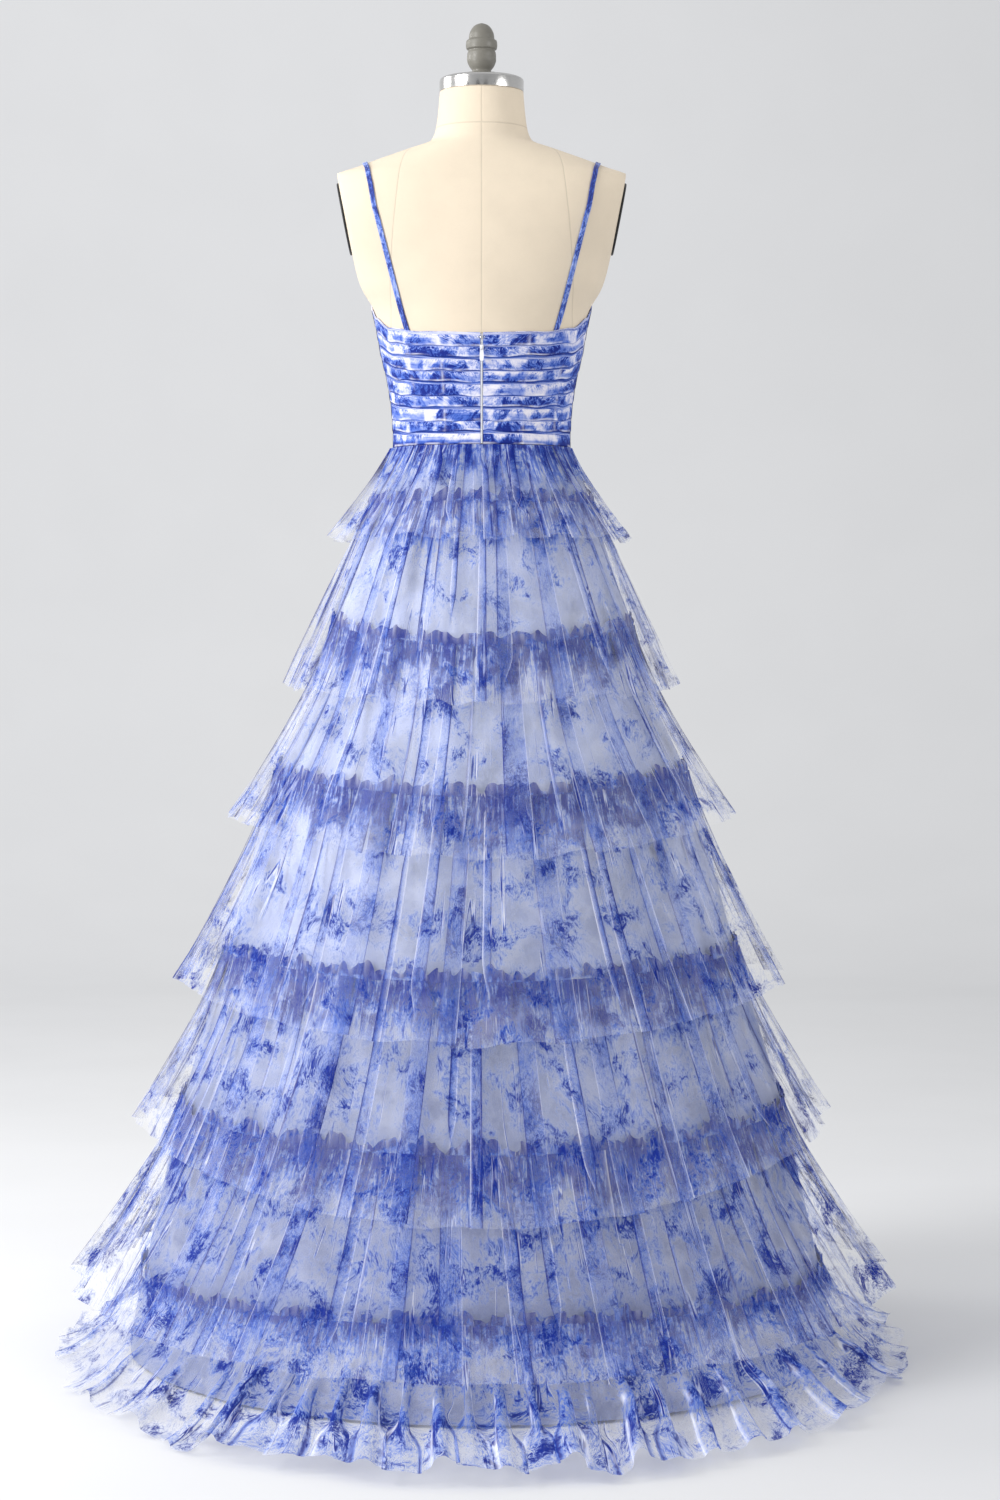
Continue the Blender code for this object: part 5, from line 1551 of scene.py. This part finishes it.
class DRESS_OT_zip(bpy.types.Operator):
    """Build the zip's tape and coil, the slider and the hanging pull tab"""
    bl_idname = "dress.zip"
    bl_label = "Zip"

    def execute(self, context):
        nylon = plastic_material("zip coil", (0.93, 0.94, 0.97), 0.38)
        enamel = plastic_material("white enamel", (0.86, 0.86, 0.88), 0.28)
        chain = join("zip_teeth", self.coil() + [self.tape()])
        finish_piece(chain, nylon, stands_for=["zip_chain"])
        finish_piece(self.slider(), enamel, stands_for=["zip_slider"])
        finish_piece(self.tab(), enamel, body="pull_tab", stands_for=["zip_tab"])
        return {"FINISHED"}

    def coil(self):
        """The closed coil: its turns reach in from the left and the right by turns."""
        teeth = []
        for k, z in enumerate(np.arange(WAIST_Z + 0.0012, ZIP_TOP_Z - 0.0004, TOOTH_PITCH / 2)):
            y = float(back_y(z)) + GAP + BODICE_WALL + 0.0001
            half = -TOOTH_HALF if k % 2 else TOOTH_HALF
            teeth.append(add_tube("tooth", [
                [(half * x, y + TOOTH_DEEP * size * math.cos(b),
                  z + TOOTH_PITCH * 0.22 * size * math.sin(b)) for b in full_turn(8)]
                for x, size in TOOTH]))
        return teeth

    def tape(self):
        heights = np.linspace(WAIST_Z + 0.0008, TAPE_TOP_Z, 44)
        return add_grid("tape", np.array([
            [(x, float(back_y(z)) + GAP + 0.0010, z) for x in (-TAPE_HALF, 0.0, TAPE_HALF)]
            for z in heights]), closed=False)

    def slider(self):
        """A waisted plate with the arched bridge that keeps the pull tab."""
        near = plate_y()
        outline = []
        for b in full_turn(40):
            wide = SLIDER_HALF[0] * (1.0 if math.sin(b) > 0 else 0.86)
            outline.append((wide * math.copysign(abs(math.cos(b)) ** 0.45, math.cos(b)),
                            SLIDER_HALF[1] * math.copysign(abs(math.sin(b)) ** 0.6, math.sin(b))))
        plate = add_tube("slider", [[(x * size, near + out, SLIDER_Z + z * size)
                                     for x, z in outline] for out, size in SLIDER_LAYERS])
        axis = tab_axis()
        bridge = []
        for b in np.radians(np.linspace(-125, 125, 21)):
            outward = np.array((0.0, math.cos(b), math.sin(b)))
            middle = np.array(axis) + outward * BRIDGE_REACH
            ring = [middle + outward * BRIDGE_WIRE * math.sin(c)
                    + np.array((BRIDGE_HALF * math.cos(c), 0, 0)) for c in full_turn(12)]
            bridge.append([(x, max(y, near + 0.0002), z) for x, y, z in ring])
        return crisp(join("zip_runner", [plate, add_tube("bridge", bridge)]), 50)

    def tab(self):
        """The drop-shaped tab with its eye, its faces dished inside a rim."""
        axis = tab_axis()
        crown = TAB_WALL / 2
        outer, hole = [], []
        for b in full_turn(48):
            down = (1 - math.cos(b)) / 2
            width = lerp(EYE_HALF_WIDTH + TAB_RIM, TAB_WIDTH / 2, down ** 1.4)
            width *= abs(math.sin(b)) ** 0.55
            outer.append((math.copysign(width, math.sin(b)), crown - down * (TAB_LENGTH + crown)))
            x = EYE_HALF_WIDTH * math.copysign(abs(math.sin(b)) ** 0.5, math.sin(b))
            along = math.copysign(abs(math.cos(b)) ** 0.5, math.cos(b))
            hole.append((x, -crown - (EYE_DEPTH - crown) * (1 - along) / 2))
        outer, hole = np.array(outer), np.array(hole)
        middle = (outer + hole) / 2

        def ring(line, y):
            return [(x, axis.y + y, axis.z + z) for x, z in line]
        half = TAB_WALL / 2
        inset = lerp(outer, middle, 0.12)
        loops = [ring(outer, half * 0.55), ring(inset, half), ring(lerp(outer, middle, 0.35), half),
                 ring(lerp(outer, middle, 0.5), half * 0.72), ring(middle, half * 0.72),
                 ring(lerp(hole, middle, 0.35), half), ring(lerp(hole, middle, 0.12), half),
                 ring(hole, half * 0.6)]
        loops += [[(x, 2 * axis.y - y, z) for x, y, z in loop] for loop in reversed(loops)]
        return add_tube("zip_pull_tab", loops, closed=True, sharp=60)


class DRESS_OT_hook(bpy.types.Operator):
    """Build the hook and eye above the zip"""
    bl_idname = "dress.hook"
    bl_label = "Hook and eye"

    def execute(self, context):
        steel = metal_material("hook wire", (0.78, 0.77, 0.75), 1.0, 0.25, 60.0)
        surface = float(back_y(HOOK_Z)) + GAP + BODICE_WALL + PLEAT_STEP * PLEAT_AT_ZIP * 2
        lift = surface + 2 * GAP
        rings = []
        for b in full_turn(36):
            middle = np.array((EYE_X + EYE_HALF[0] * math.cos(b), lift,
                               HOOK_Z + EYE_HALF[1] * math.sin(b)))
            out = np.array((math.cos(b) / EYE_HALF[0], 0, math.sin(b) / EYE_HALF[1]))
            out /= np.linalg.norm(out)
            rings.append([middle + EYE_WIRE * (out * math.cos(c) + np.array((0, math.sin(c), 0)))
                          for c in full_turn(10)])
        finish_piece(add_tube("eye_wire", rings, closed=True), steel,
                     stands_for=["eye"])
        steps = np.arange(len(HOOK_BENDS), dtype=float)
        table = np.column_stack([steps, HOOK_BENDS, HOOK_BENDS[:, 0]])
        line = section_at(table, np.linspace(0, steps[-1], 43))[:, :2]
        ahead = np.gradient(line, axis=0)
        ahead /= np.linalg.norm(ahead, axis=-1, keepdims=True)
        rings = [[(x - dy * HOOK_WIRE * math.sin(c), lift + y + dx * HOOK_WIRE * math.sin(c),
                   HOOK_Z + HOOK_HALF_WIDTH * math.cos(c)) for c in full_turn(12)]
                 for (x, y), (dx, dy) in zip(line, ahead)]
        finish_piece(add_tube("hook_wire", rings), steel, stands_for=["hook"])
        return {"FINISHED"}


# ------------------------------------------------------------ panel
SETTINGS = {
    "dress_stage": StageSettings, "dress_form": FormSettings, "dress_lining": LiningSettings,
    "dress_tulle": TulleSettings, "dress_bodice": BodiceSettings,
}
OPERATORS = (DRESS_OT_stage, DRESS_OT_form, DRESS_OT_stand, DRESS_OT_lining, DRESS_OT_tiers,
             DRESS_OT_train, DRESS_OT_bodice, DRESS_OT_straps, DRESS_OT_zip, DRESS_OT_hook)


class DRESS_PT_panel(bpy.types.Panel):
    """The dress's pieces and their settings"""
    bl_idname = "DRESS_PT_panel"
    bl_label = "Tiered tulle dress"
    bl_space_type = "VIEW_3D"
    bl_region_type = "UI"
    bl_category = "Dress"

    def draw(self, context):
        for key, kind in SETTINGS.items():
            box = self.layout.box()
            for name in kind.__annotations__:
                box.prop(getattr(context.scene, key), name)
        for operator in OPERATORS:
            self.layout.operator(operator.bl_idname)


def register():
    for kind in (*SETTINGS.values(), *OPERATORS, DRESS_PT_panel):
        bpy.utils.register_class(kind)
    for key, kind in SETTINGS.items():
        setattr(bpy.types.Scene, key, PointerProperty(type=kind))


def unregister():
    for key in SETTINGS:
        delattr(bpy.types.Scene, key)
    for kind in reversed((*SETTINGS.values(), *OPERATORS, DRESS_PT_panel)):
        bpy.utils.unregister_class(kind)


def main():
    register()
    for name in ("stage", "form", "stand", "lining", "tiers", "train", "bodice", "straps",
                 "zip", "hook"):
        getattr(bpy.ops.dress, name)()


if __name__ == "__main__":
    main()
